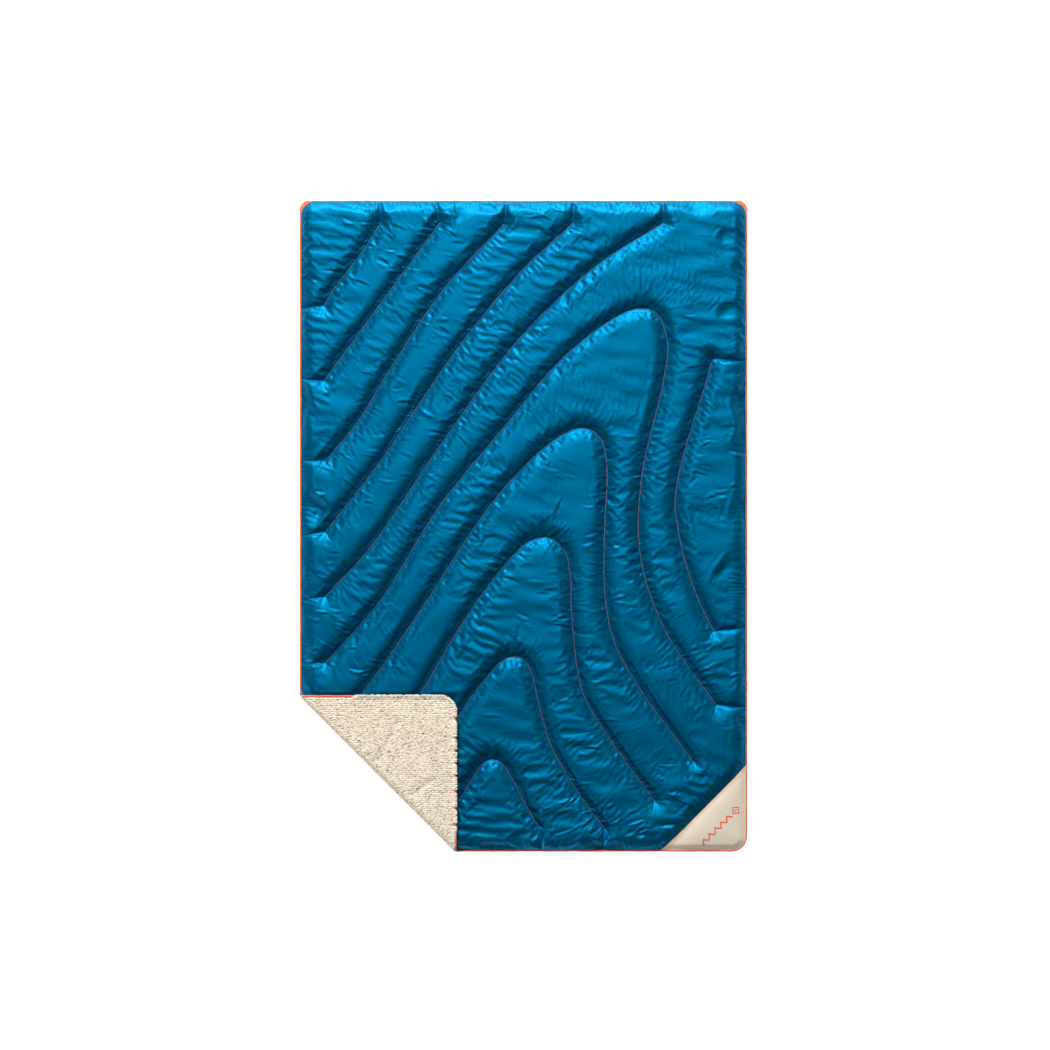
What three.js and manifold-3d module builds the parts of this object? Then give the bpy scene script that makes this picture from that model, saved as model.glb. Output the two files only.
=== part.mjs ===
// A quilted camp blanket lying flat, one corner folded back over the top to show the fleece underside.
// X runs across the blanket, Y along it and Z up. The origin is on the ground under its middle.
// The folded corner is modelled in its unfolded place and turned over about the fold line by its group.
import * as THREE from "three";
import { mergeVertices } from "three/addons/utils/BufferGeometryUtils.js";
import Module from "manifold-3d";

// Overall sizes, in millimetres
const WIDTH = 1310;
const LENGTH = 1905;
const CORNER_RADIUS = 46;
const FOLD_LEG = 460; // how far along each edge the corner is folded back

// Plies, from the ground up, and the clearance kept between touching pieces
const FLEECE_THICK = 6;
const FILL_THICK = 15;
const SHELL_THICK = 0.6;
const CLEARANCE = 0.3;
const EDGE_SLOPE_RUN = 24; // the loft falls to the edge seam over this distance
const SHELL_WALL_RUN = 1.2; // the shell's thickness measured level through its sloping edge

// The space between the two shell faces of the fold, which holds the stitching of both
const FOLD_GAP = 4;

// Corded piping sewn into the edge seam
const PIPING_DIAMETER = 6;
const CORD_DIAMETER = 3.4;
const PIPING_SIDES = 8;
const CORNER_STEPS = 6;
const ARC_SEGMENTS = CORNER_STEPS / 2; // a shape's arc is drawn in twice this many steps
const BEND_STEPS = 5;

// Quilting thread
const THREAD_DIAMETER = 1;
const THREAD_SIDES = 6;
const THREAD_STEP = 45;
const SEAM_TRACE_STEP = 9; // how finely a seam is followed when it is cut at the fold
const SHORTEST_THREAD = 12;

// Reinforcement patch on the bottom right corner, its hem stitching and its embroidered mark
const PATCH_LEG = 255;
const PATCH_THICK = 0.8;
const HEM_STITCH_OFFSETS = [4, 8];
const MARK_THICK = 0.5;
const MARK_OFFSET = 69; // from the patch's long edge towards the corner
const ZIGZAG_START = -78;
const ZIGZAG_END = 42;
const ZIGZAG_PEAKS = 5;
const ZIGZAG_HEIGHT = 14;
const ZIGZAG_BAND = 5;
const DIAMOND_CENTRE = 62;
const DIAMOND_HALF = 14;

// Webbing loops sewn flush into the two top corners
const LOOP_OUTER_RADIUS = 28;
const LOOP_THICK = 2;

const COLOURS = { shell: 0x02648c, fleece: 0xe6d7c0, fill: 0xf4f4f0, piping: 0xf7734c,
  cord: 0xf0ece4, thread: 0xc9673f, patch: 0xded0bb, webbing: 0xe8683c };

// Quilting seams, each as points in percent of the width from the left and of the length from the top
const SEAMS = {
  a: [[18.1, 3.5], [14.1, 7.8], [8, 13.3], [5.4, 16.2]],
  b: [[31.4, 3.4], [22.5, 11.7], [11.6, 22], [5.5, 27.7]],
  c: [[45.6, 3.7], [32, 13.8], [19.8, 26.4], [12.7, 34.3], [5.7, 40]],
  d: [[61, 3.5], [49.1, 11.2], [35.1, 22.9], [26.8, 31.2], [18.3, 39.8], [5.8, 50.9]],
  e: [[81.1, 3.5], [66.2, 10.1], [49.1, 21.2], [31.6, 37.4], [16, 53.1], [5.8, 60.8]],
  f: [[5.8, 71], [18, 61.4], [31.3, 46.9], [45.4, 35], [60.3, 23.2], [74.4, 16.8], [79.4, 17.2],
    [82.1, 21.7], [81.3, 27.4], [76.4, 42.4], [76, 54.1], [81.2, 65.4], [93, 77.5]],
  g: [[9, 79], [13.8, 75.7], [26.8, 63.1], [39.8, 49.4], [47.3, 42.9], [55.3, 37.6], [60.8, 35.3],
    [63.8, 35], [67.2, 36.5], [68.5, 40], [68, 52.5], [68.2, 60.8], [70.3, 67.8], [75.8, 74.7],
    [87.8, 86.1]],
  h: [[6.3, 91], [15, 87.5], [27, 75.7], [33.7, 67.8], [39.5, 61.6], [47, 55], [51.2, 52.4],
    [55.6, 51.8], [59, 53.6], [60.4, 57.3], [60.7, 63.1], [63.1, 75.2], [68.2, 81.5], [79.3, 92.2]],
  i: [[19, 96.2], [24.5, 91], [35.7, 78.9], [41.9, 73], [44.9, 70.8], [47.6, 70], [50.1, 70.5],
    [51.9, 72.8], [53.6, 77.8], [56.4, 84], [62, 90.6], [68.1, 96.4]],
  j: [[32.8, 95.1], [35.5, 92.2], [39.1, 88.1], [41.1, 86.3], [43.2, 85.8], [44.9, 86.2], [46.6, 87.7],
    [50.4, 92.6], [53.3, 96.1]],
  k: [[92.2, 24.4], [90.1, 29.3], [85.3, 40.1], [83.8, 46], [84.1, 48.8], [86, 55.3], [89.1, 61.4],
    [92.4, 66.1]],
};

// Heights that follow from the plies
const FILL_BASE = FLEECE_THICK + CLEARANCE;
const FILL_TOP = FILL_BASE + FILL_THICK;
const TOP = FILL_TOP + CLEARANCE + SHELL_THICK;
const FOLD_HEIGHT = TOP + FOLD_GAP / 2;
const PIPING_HEIGHT = PIPING_DIAMETER / 2 + CLEARANCE;
const PLY_INSET = PIPING_DIAMETER + CLEARANCE;
const SIDE_INSET = PIPING_DIAMETER / 2;
const REACH = WIDTH + LENGTH; // longer than anything that is cut

// The fold line runs at 45 degrees across the bottom left corner
const FOLD_SUM = WIDTH / 2 + LENGTH / 2 - FOLD_LEG;
const FOLD_DISTANCE = FOLD_SUM / Math.SQRT2;
const OUTWARD = new THREE.Vector3(-1, -1, 0).normalize();
const UP = new THREE.Vector3(0, 0, 1);
const FOLD_AXIS = new THREE.Vector3(1, -1, 0).normalize();
const FOLD_POINT = OUTWARD.clone().multiplyScalar(FOLD_DISTANCE).setZ(FOLD_HEIGHT);
const FOLDED_ANGLE = -Math.PI;
const BLANKET_SIDE = -1;
const FLAP_SIDE = 1;

const wasm = await Module();
wasm.setup();

// A closed geometry as a solid that can be joined and cut
function solid(geometry) {
  geometry.deleteAttribute("normal");
  geometry.deleteAttribute("uv");
  const merged = mergeVertices(geometry, 1e-4);
  return new wasm.Manifold(new wasm.Mesh({
    numProp: 3,
    vertProperties: merged.attributes.position.array,
    triVerts: new Uint32Array(merged.index.array),
  }));
}

function geometryOf(body) {
  const mesh = body.getMesh();
  const geometry = new THREE.BufferGeometry();
  geometry.setAttribute("position", new THREE.BufferAttribute(mesh.vertProperties, 3));
  geometry.setIndex(new THREE.BufferAttribute(mesh.triVerts, 1));
  geometry.computeVertexNormals();
  return geometry;
}

// The blanket's outline, drawn in by a distance from its edge
function outline(inset) {
  const x = WIDTH / 2 - CORNER_RADIUS;
  const y = LENGTH / 2 - CORNER_RADIUS;
  const radius = CORNER_RADIUS - inset;
  const shape = new THREE.Shape();
  shape.absarc(x, y, radius, 0, Math.PI / 2);
  shape.absarc(-x, y, radius, Math.PI / 2, Math.PI);
  shape.absarc(-x, -y, radius, Math.PI, 1.5 * Math.PI);
  shape.absarc(x, -y, radius, 1.5 * Math.PI, 2 * Math.PI);
  return shape;
}

function prism(shape, low, high) {
  const geometry = new THREE.ExtrudeGeometry(shape,
    { depth: high - low, bevelEnabled: false, curveSegments: ARC_SEGMENTS });
  return solid(geometry.translate(0, 0, low));
}

// A low mound over the whole outline: level on top, falling to its base along every edge
function mound(inset, base, rise) {
  const run = EDGE_SLOPE_RUN * rise / (TOP - FILL_BASE);
  const geometry = new THREE.ExtrudeGeometry(outline(inset), { depth: CLEARANCE, bevelEnabled: true,
    bevelSegments: 1, bevelThickness: rise, bevelSize: run, bevelOffset: -run,
    curveSegments: ARC_SEGMENTS });
  const lens = solid(geometry.translate(0, 0, base - CLEARANCE));
  return lens.intersect(slab(base, base + REACH));
}

function slab(low, high) {
  const box = new THREE.BoxGeometry(REACH, REACH, high - low);
  return solid(box.translate(0, 0, (low + high) / 2));
}

// Places geometry drawn with X outward from the fold line, Y up from its height and Z along it
function alongFold(geometry) {
  const frame = new THREE.Matrix4().makeBasis(OUTWARD, UP, OUTWARD.clone().cross(UP));
  return geometry.applyMatrix4(frame.setPosition(FOLD_POINT));
}

// Everything on one side of the fold's bend and under its middle height
function flatZone(side) {
  const box = new THREE.BoxGeometry(REACH, 2 * REACH, 2 * REACH);
  return solid(alongFold(box.translate(side * (FOLD_HEIGHT + REACH / 2), 0, 0)));
}

// One ply's quarter turn at the fold, from the height it has when flat up to the middle of the fold,
// kept as far in from the blanket's edge as the ply's level part is
function bend(side, low, high, inset) {
  const outer = FOLD_HEIGHT - low;
  const inner = FOLD_HEIGHT - high;
  const overlap = FOLD_GAP;
  const profile = new THREE.Shape();
  const centre = FOLD_HEIGHT;
  profile.moveTo(-centre - overlap, -outer);
  profile.absarc(-centre, 0, outer, -Math.PI / 2, 0);
  profile.absarc(-centre, 0, inner, 0, -Math.PI / 2, true);
  profile.lineTo(-centre - overlap, -inner);
  const points = profile.getPoints(BEND_STEPS);
  const placed = points.map((p) => new THREE.Vector2(-side * p.x, p.y));
  const geometry = new THREE.ExtrudeGeometry(new THREE.Shape(placed),
    { depth: 2 * REACH, bevelEnabled: false });
  const ply = solid(alongFold(geometry.translate(0, 0, -REACH)));
  const belowMiddle = slab(-REACH, FOLD_HEIGHT - CLEARANCE / 2);
  return ply.intersect(belowMiddle).intersect(prism(outline(inset), -1, FOLD_HEIGHT));
}

function fleece(side) {
  const sheet = prism(outline(PLY_INSET), 0, FLEECE_THICK);
  const turn = bend(side, 0, FLEECE_THICK, PLY_INSET);
  return geometryOf(sheet.intersect(flatZone(side)).add(turn));
}

function insulation(side) {
  const inset = PLY_INSET + SHELL_WALL_RUN + CLEARANCE;
  const batt = mound(inset, FILL_BASE, FILL_THICK);
  const turn = bend(side, FILL_BASE, FILL_TOP, inset + EDGE_SLOPE_RUN);
  return geometryOf(batt.intersect(flatZone(side)).add(turn));
}

function shell(side) {
  const outer = mound(PLY_INSET, FILL_BASE, TOP - FILL_BASE);
  const inner = mound(PLY_INSET + SHELL_WALL_RUN, FILL_BASE, FILL_THICK + CLEARANCE);
  const sheet = outer.subtract(inner).intersect(flatZone(side));
  const turn = bend(side, TOP - SHELL_THICK, TOP, PLY_INSET + EDGE_SLOPE_RUN);
  return geometryOf(sheet.add(turn));
}

// A path of straight steps whose sections stand where its points do. It starts downward and ends upward,
// so that the piping is cut level at the middle height of the fold.
class StepPath extends THREE.Curve {
  constructor(points) {
    super();
    this.points = points;
  }

  getPoint(t, target = new THREE.Vector3()) {
    const place = t * (this.points.length - 1);
    const index = Math.min(Math.floor(place), this.points.length - 2);
    return target.lerpVectors(this.points[index], this.points[index + 1], place - index);
  }

  getPointAt(u, target) {
    return this.getPoint(u, target);
  }

  getTangentAt(u, target = new THREE.Vector3()) {
    const last = this.points.length - 1;
    const index = Math.round(u * last);
    if (index === 0) return target.copy(UP).negate();
    if (index === last) return target.copy(UP);
    const arriving = this.points[index].clone().sub(this.points[index - 1]).normalize();
    const leaving = this.points[index + 1].clone().sub(this.points[index]).normalize();
    return target.copy(arriving).add(leaving).normalize();
  }
}

function ring(diameter, sides) {
  const radius = diameter / 2 / Math.cos(Math.PI / sides);
  const corners = Array.from({ length: sides }, (_, k) => {
    const angle = (k + 0.5) * 2 * Math.PI / sides;
    return new THREE.Vector2(radius * Math.cos(angle), radius * Math.sin(angle));
  });
  return corners;
}

function tube(path, steps, diameter, sides, bore = 0) {
  const section = new THREE.Shape(ring(diameter, sides));
  if (bore > 0) section.holes.push(new THREE.Path(ring(bore, sides)));
  return new THREE.ExtrudeGeometry(section, { steps, extrudePath: path, bevelEnabled: false });
}

// Where the piping rises through the bend of the fold, along the left or the bottom edge
function risingPoints(side, edge) {
  const radius = FOLD_HEIGHT - PIPING_HEIGHT;
  const end = Math.asin(-CLEARANCE / 2 / radius);
  return Array.from({ length: BEND_STEPS + 1 }, (_, k) => {
    const angle = THREE.MathUtils.lerp(-Math.PI / 2, end, k / BEND_STEPS);
    const outward = side * (FOLD_HEIGHT - radius * Math.cos(angle));
    const sum = FOLD_SUM + Math.SQRT2 * outward;
    const height = FOLD_HEIGHT + radius * Math.sin(angle);
    if (edge === "left") {
      const x = -(WIDTH / 2 - SIDE_INSET);
      return new THREE.Vector3(x, -sum - x, height);
    }
    const y = -(LENGTH / 2 - SIDE_INSET);
    return new THREE.Vector3(-sum - y, y, height);
  });
}

// The piping's way round one corner, clockwise seen from above, starting at an angle in quarter turns
function cornerPoints(xSign, ySign, quarter) {
  const x = xSign * (WIDTH / 2 - CORNER_RADIUS);
  const y = ySign * (LENGTH / 2 - CORNER_RADIUS);
  const radius = CORNER_RADIUS - SIDE_INSET;
  return Array.from({ length: CORNER_STEPS + 1 }, (_, k) => {
    const angle = (quarter - k / CORNER_STEPS) * Math.PI / 2;
    return new THREE.Vector3(x + radius * Math.cos(angle), y + radius * Math.sin(angle), PIPING_HEIGHT);
  });
}

function blanketEdge() {
  return new StepPath([
    ...risingPoints(BLANKET_SIDE, "left").reverse(),
    ...cornerPoints(-1, 1, 2),
    ...cornerPoints(1, 1, 1),
    ...cornerPoints(1, -1, 0),
    ...risingPoints(BLANKET_SIDE, "bottom"),
  ]);
}

function flapEdge() {
  return new StepPath([
    ...risingPoints(FLAP_SIDE, "bottom").reverse(),
    ...cornerPoints(-1, -1, 3),
    ...risingPoints(FLAP_SIDE, "left"),
  ]);
}

function piping(path) {
  return tube(path, path.points.length - 1, PIPING_DIAMETER, PIPING_SIDES, CORD_DIAMETER + 2 * CLEARANCE);
}

function pipingCord(path) {
  return tube(path, path.points.length - 1, CORD_DIAMETER, PIPING_SIDES);
}

// A seam's thread on one side of the fold, or null where the seam doesn't reach that side
function quiltThread(seam, side) {
  const height = TOP + CLEARANCE + THREAD_DIAMETER / 2;
  const drawn = new THREE.CatmullRomCurve3(seam.map(([across, down]) => new THREE.Vector3(
    (across / 100 - 0.5) * WIDTH, (0.5 - down / 100) * LENGTH, height)));
  const trace = drawn.getSpacedPoints(Math.ceil(drawn.getLength() / SEAM_TRACE_STEP));
  const kept = trace.filter((p) => side * (p.dot(OUTWARD) - FOLD_DISTANCE) > FOLD_HEIGHT + THREAD_DIAMETER);
  if ((kept.length - 1) * SEAM_TRACE_STEP < SHORTEST_THREAD) return null;
  const run = new THREE.CatmullRomCurve3(kept);
  return tube(run, Math.ceil(run.getLength() / THREAD_STEP), THREAD_DIAMETER, THREAD_SIDES);
}

// A place on the patch, along its long edge and from that edge towards the blanket's corner
function onPatch(along, towardsCorner) {
  const x = WIDTH / 2 - PATCH_LEG / 2 + (along + towardsCorner) / Math.SQRT2;
  const y = -LENGTH / 2 + PATCH_LEG / 2 + (along - towardsCorner) / Math.SQRT2;
  return new THREE.Vector2(x, y);
}

const PATCH_UNDER = TOP + CLEARANCE * Math.SQRT2;
const PATCH_TOP = PATCH_UNDER + PATCH_THICK;

function patch() {
  const corner = new THREE.Shape([
    new THREE.Vector2(WIDTH / 2, -LENGTH / 2),
    new THREE.Vector2(WIDTH / 2, -LENGTH / 2 + PATCH_LEG),
    new THREE.Vector2(WIDTH / 2 - PATCH_LEG, -LENGTH / 2),
  ]);
  const shellForm = () => mound(PLY_INSET, FILL_BASE, TOP - FILL_BASE);
  const over = shellForm().translate(0, 0, PATCH_TOP - TOP);
  const under = shellForm().translate(0, 0, PATCH_UNDER - TOP);
  const abovePiping = PIPING_HEIGHT + PIPING_DIAMETER / 2 + CLEARANCE;
  return geometryOf(over.subtract(under).intersect(prism(corner, abovePiping, PATCH_TOP + 1)));
}

function hemStitch(offset) {
  const halfLength = PATCH_LEG / Math.SQRT2 - offset - (PLY_INSET + EDGE_SLOPE_RUN) * Math.SQRT2;
  const height = PATCH_TOP + CLEARANCE + THREAD_DIAMETER / 2;
  const ends = [-halfLength, halfLength].map((along) => {
    const place = onPatch(along, offset);
    return new THREE.Vector3(place.x, place.y, height);
  });
  return tube(new THREE.LineCurve3(...ends), 1, THREAD_DIAMETER, THREAD_SIDES);
}

function embroidery(points) {
  const geometry = new THREE.ExtrudeGeometry(new THREE.Shape(points),
    { depth: MARK_THICK, bevelEnabled: false });
  return geometry.translate(0, 0, PATCH_TOP + CLEARANCE);
}

function zigzag() {
  const turns = 2 * ZIGZAG_PEAKS;
  const edge = (shift) => Array.from({ length: turns + 1 }, (_, k) => {
    const along = THREE.MathUtils.lerp(ZIGZAG_START, ZIGZAG_END, k / turns);
    const across = (k % 2 ? -0.5 : 0.5) * ZIGZAG_HEIGHT;
    return onPatch(along, MARK_OFFSET + across + shift);
  });
  return embroidery([...edge(-ZIGZAG_BAND / 2), ...edge(ZIGZAG_BAND / 2).reverse()]);
}

function diamond() {
  return embroidery([
    onPatch(DIAMOND_CENTRE - DIAMOND_HALF, MARK_OFFSET),
    onPatch(DIAMOND_CENTRE, MARK_OFFSET - DIAMOND_HALF),
    onPatch(DIAMOND_CENTRE + DIAMOND_HALF, MARK_OFFSET),
    onPatch(DIAMOND_CENTRE, MARK_OFFSET + DIAMOND_HALF),
  ]);
}

// A flat webbing crescent that squares off a top corner outside the piping
function cornerLoop(side) {
  const innerX = WIDTH / 2 - CORNER_RADIUS;
  const innerY = LENGTH / 2 - CORNER_RADIUS;
  const innerRadius = CORNER_RADIUS + CLEARANCE;
  const tip = Math.acos(CORNER_RADIUS / innerRadius);
  const outerX = WIDTH / 2 - LOOP_OUTER_RADIUS;
  const outerY = LENGTH / 2 - LOOP_OUTER_RADIUS;
  const crescent = new THREE.Shape();
  crescent.absarc(outerX, outerY, LOOP_OUTER_RADIUS, 0, Math.PI / 2);
  crescent.absarc(innerX, innerY, innerRadius, Math.PI / 2 - tip, tip, true);
  const points = crescent.getPoints(ARC_SEGMENTS);
  const placed = points.map((p) => new THREE.Vector2(side * p.x, p.y));
  const geometry = new THREE.ExtrudeGeometry(new THREE.Shape(placed),
    { depth: LOOP_THICK, bevelEnabled: false });
  return geometry.translate(0, 0, PIPING_HEIGHT - LOOP_THICK / 2);
}

function material(colour, roughness) {
  return new THREE.MeshStandardMaterial({ color: colour, roughness, metalness: 0 });
}

const MATERIALS = {
  shell: material(COLOURS.shell, 0.45),
  fleece: material(COLOURS.fleece, 0.95),
  fill: material(COLOURS.fill, 1),
  piping: material(COLOURS.piping, 0.6),
  cord: material(COLOURS.cord, 0.9),
  thread: material(COLOURS.thread, 0.6),
  patch: material(COLOURS.patch, 0.8),
  webbing: material(COLOURS.webbing, 0.7),
};

function piece(parent, name, geometry, kind) {
  const mesh = new THREE.Mesh(geometry, MATERIALS[kind]);
  mesh.name = name;
  parent.add(mesh);
}

// The plies, piping and quilting on one side of the fold
function paddedPart(parent, suffix, side, edge) {
  piece(parent, "fleece_" + suffix, fleece(side), "fleece");
  piece(parent, "insulation_" + suffix, insulation(side), "fill");
  piece(parent, "shell_" + suffix, shell(side), "shell");
  piece(parent, "piping_cover_" + suffix, piping(edge), "piping");
  piece(parent, "piping_cord_" + suffix, pipingCord(edge), "cord");
  for (const [letter, seam] of Object.entries(SEAMS)) {
    const thread = quiltThread(seam, side);
    if (thread) piece(parent, "quilt_thread_" + letter + "_" + suffix, thread, "thread");
  }
}

const blanket = new THREE.Group();
paddedPart(blanket, "blanket", BLANKET_SIDE, blanketEdge());
piece(blanket, "corner_patch", patch(), "patch");
HEM_STITCH_OFFSETS.forEach((offset, k) => {
  piece(blanket, "patch_hem_thread_" + (k + 1), hemStitch(offset), "thread");
});
piece(blanket, "patch_zigzag", zigzag(), "thread");
piece(blanket, "patch_diamond", diamond(), "thread");
piece(blanket, "corner_loop_left", cornerLoop(-1), "webbing");
piece(blanket, "corner_loop_right", cornerLoop(1), "webbing");

// The corner flap, turned over about the fold line to lie on the blanket
const hinge = new THREE.Group();
hinge.position.copy(FOLD_POINT);
hinge.quaternion.setFromAxisAngle(FOLD_AXIS, FOLDED_ANGLE);
const unfolded = new THREE.Group();
unfolded.position.copy(FOLD_POINT).negate();
hinge.add(unfolded);
paddedPart(unfolded, "flap", FLAP_SIDE, flapEdge());

const campBlanket = new THREE.Group();
campBlanket.add(blanket, hinge);

export default campBlanket;
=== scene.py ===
import math

import bpy
import numpy as np
from mathutils.kdtree import KDTree
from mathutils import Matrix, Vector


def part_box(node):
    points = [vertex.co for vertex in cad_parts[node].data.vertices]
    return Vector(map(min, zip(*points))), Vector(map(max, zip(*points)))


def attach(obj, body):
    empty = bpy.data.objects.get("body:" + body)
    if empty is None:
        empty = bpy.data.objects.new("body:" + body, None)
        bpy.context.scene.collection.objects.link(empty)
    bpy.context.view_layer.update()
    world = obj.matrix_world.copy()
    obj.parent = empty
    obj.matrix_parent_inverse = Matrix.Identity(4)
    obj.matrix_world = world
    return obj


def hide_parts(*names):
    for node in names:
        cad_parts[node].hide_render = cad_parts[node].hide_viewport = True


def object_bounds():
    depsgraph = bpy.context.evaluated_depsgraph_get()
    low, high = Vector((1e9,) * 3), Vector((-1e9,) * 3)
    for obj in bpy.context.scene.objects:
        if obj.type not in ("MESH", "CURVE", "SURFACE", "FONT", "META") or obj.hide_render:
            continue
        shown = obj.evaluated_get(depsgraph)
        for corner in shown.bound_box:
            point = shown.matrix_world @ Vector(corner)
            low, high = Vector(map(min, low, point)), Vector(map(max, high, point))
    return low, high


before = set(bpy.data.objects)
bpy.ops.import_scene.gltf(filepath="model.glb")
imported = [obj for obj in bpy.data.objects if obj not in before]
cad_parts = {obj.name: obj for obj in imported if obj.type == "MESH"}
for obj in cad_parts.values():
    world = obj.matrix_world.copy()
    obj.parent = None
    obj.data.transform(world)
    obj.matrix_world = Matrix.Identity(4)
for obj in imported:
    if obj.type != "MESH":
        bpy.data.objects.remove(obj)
cad_low, cad_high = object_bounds()
bpy.context.scene.view_settings.view_transform = "Standard"


# Studio: a plain white floor, a large soft light beyond the blanket's top edge and a small one high
# over it, a weak fill from the other side, a low strip beyond the turned back corner, and a camera
# straight above that takes in a little over three metres of floor.
FLOOR_SIZE = 16.0
FLOOR_DROP = 0.0012
FLOOR_WHITE = 0.93
ROOM_LIGHT = 0.05
VIEW_WIDTH = 3.068
VIEW_CENTRE = (0.0044, 0.0029)
CLOTH_HEIGHT = 0.012
LENS = 100.0
SENSOR = 36.0


def new_material(name):
    material = bpy.data.materials.new(name)
    material.use_nodes = True
    return material, material.node_tree, material.node_tree.nodes["Principled BSDF"]


def soft_light(name, place, towards, size, watts):
    bpy.ops.object.light_add(type="AREA", location=place)
    light = bpy.context.object
    light.name = name
    light.data.shape = "RECTANGLE"
    light.data.size, light.data.size_y = size
    light.data.energy = watts
    aim = np.array(towards, float) - np.array(place, float)
    light.rotation_euler = (
        math.atan2(math.hypot(aim[0], aim[1]), -aim[2]),
        0.0,
        math.atan2(-aim[0], aim[1]),
    )


bpy.ops.object.select_all(action="DESELECT")
bpy.ops.mesh.primitive_plane_add(size=FLOOR_SIZE, location=(0, 0, -FLOOR_DROP))
floor = bpy.context.object
floor.name = "floor"
floor_white, tree, shader = new_material("matt_floor")
shader.inputs["Base Color"].default_value = (FLOOR_WHITE, FLOOR_WHITE, FLOOR_WHITE, 1)
shader.inputs["Roughness"].default_value = 0.9
shader.inputs["Emission Color"].default_value = (1, 1, 1, 1)
shader.inputs["Emission Strength"].default_value = FLOOR_WHITE
floor.data.materials.append(floor_white)

world = bpy.data.worlds.new("studio")
bpy.context.scene.world = world
world.use_nodes = True
sky = world.node_tree.nodes["Background"]
sky.inputs["Color"].default_value = (1, 1, 1, 1)
sky.inputs["Strength"].default_value = ROOM_LIGHT
soft_light("key_light", (-0.5, 7.9, 4.2), (0, 0, 0), (4.4, 2.2), 1150)
soft_light("top_light", (-0.5, 1.85, 5.5), (0, 0, 0), (1.8, 1.8), 125)
soft_light("edge_light", (-1.95, -2.2, 0.26), (-0.35, -0.65, 0.03), (1.8, 0.3), 22)
soft_light("fill_light", (-3.4, -3.8, 4.0), (0, -0.1, 0), (3.0, 3.0), 12)

camera_data = bpy.data.cameras.new("camera")
camera_data.lens = LENS
camera_data.sensor_width = SENSOR
camera = bpy.data.objects.new("camera", camera_data)
bpy.context.scene.collection.objects.link(camera)
camera.location = (*VIEW_CENTRE, VIEW_WIDTH * LENS / SENSOR + CLOTH_HEIGHT)
bpy.context.scene.camera = camera


# Padded top: satin ripstop polyester over synthetic fill, quilted through with eleven flowing seams.
# The fill lifts the cloth between the seams, and the spare cloth gathers into small irregular folds.
# It is settled as one sheet for the whole blanket, then cut along the fold of the turned back corner.
WIDTH = cad_high.x - cad_low.x
LENGTH = cad_high.y - cad_low.y
CORNER_RADIUS = 0.046
FOLD_LEG = 0.460
FOLD_RADIUS = 0.0242
SLANT = math.sqrt(0.5)
FOLD_SUM = WIDTH / 2 + LENGTH / 2 - FOLD_LEG
FOLD_DISTANCE = FOLD_SUM * SLANT
FOLD_MIDDLE = (LENGTH - WIDTH) / 2 * SLANT
PATCH_LEG = 0.255
HEM_WIDTH = 0.009
SHELL_INSET = 0.0042
SEAM_LEVEL = 0.0100
EDGE_LEVEL = 0.0041
EDGE_RUN = 0.040
LOFT = 0.0185
LOFT_REACH = 0.044
EDGE_REACH = 0.050
CLOTH_STEP = 0.005
SPARE_CLOTH = 0.015
FOLD_DETAIL = 3
SETTLE_STEPS = 110
CLOTH_LINKS = ((0, 1, 0.9), (1, 0, 0.9), (1, 1, 0.35), (1, -1, 0.35), (0, 2, 0.6), (2, 0, 0.6))
MOST_SPEED = 0.0008
PRESSED_LEVEL = 0.013
PRESSED_MOST = 0.0225
FLAT_BAND = 0.045
LAND_DROP = 0.00012
GROOVE_DEPTH = 0.0015
GROOVE_WIDTH = 0.0022
PAD_CELLS = (66, 95)
PAD_CUTS = 9
PAD_SPLIT = 0.00005
SLAB_THICK = 0.01
SEAM_STEP = 0.002

# Where the cloth lies smooth, inside the tops of the four loops and in the wide top right corner:
# place, reach and how smooth.
CALM_SPOTS = (
    (0.345, 0.545, 0.085, 0.85),
    (0.165, 0.205, 0.075, 0.85),
    (0.055, -0.120, 0.070, 0.85),
    (-0.030, -0.460, 0.060, 0.85),
    (-0.080, -0.760, 0.040, 0.80),
    (0.520, 0.760, 0.130, 0.75),
)

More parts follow.
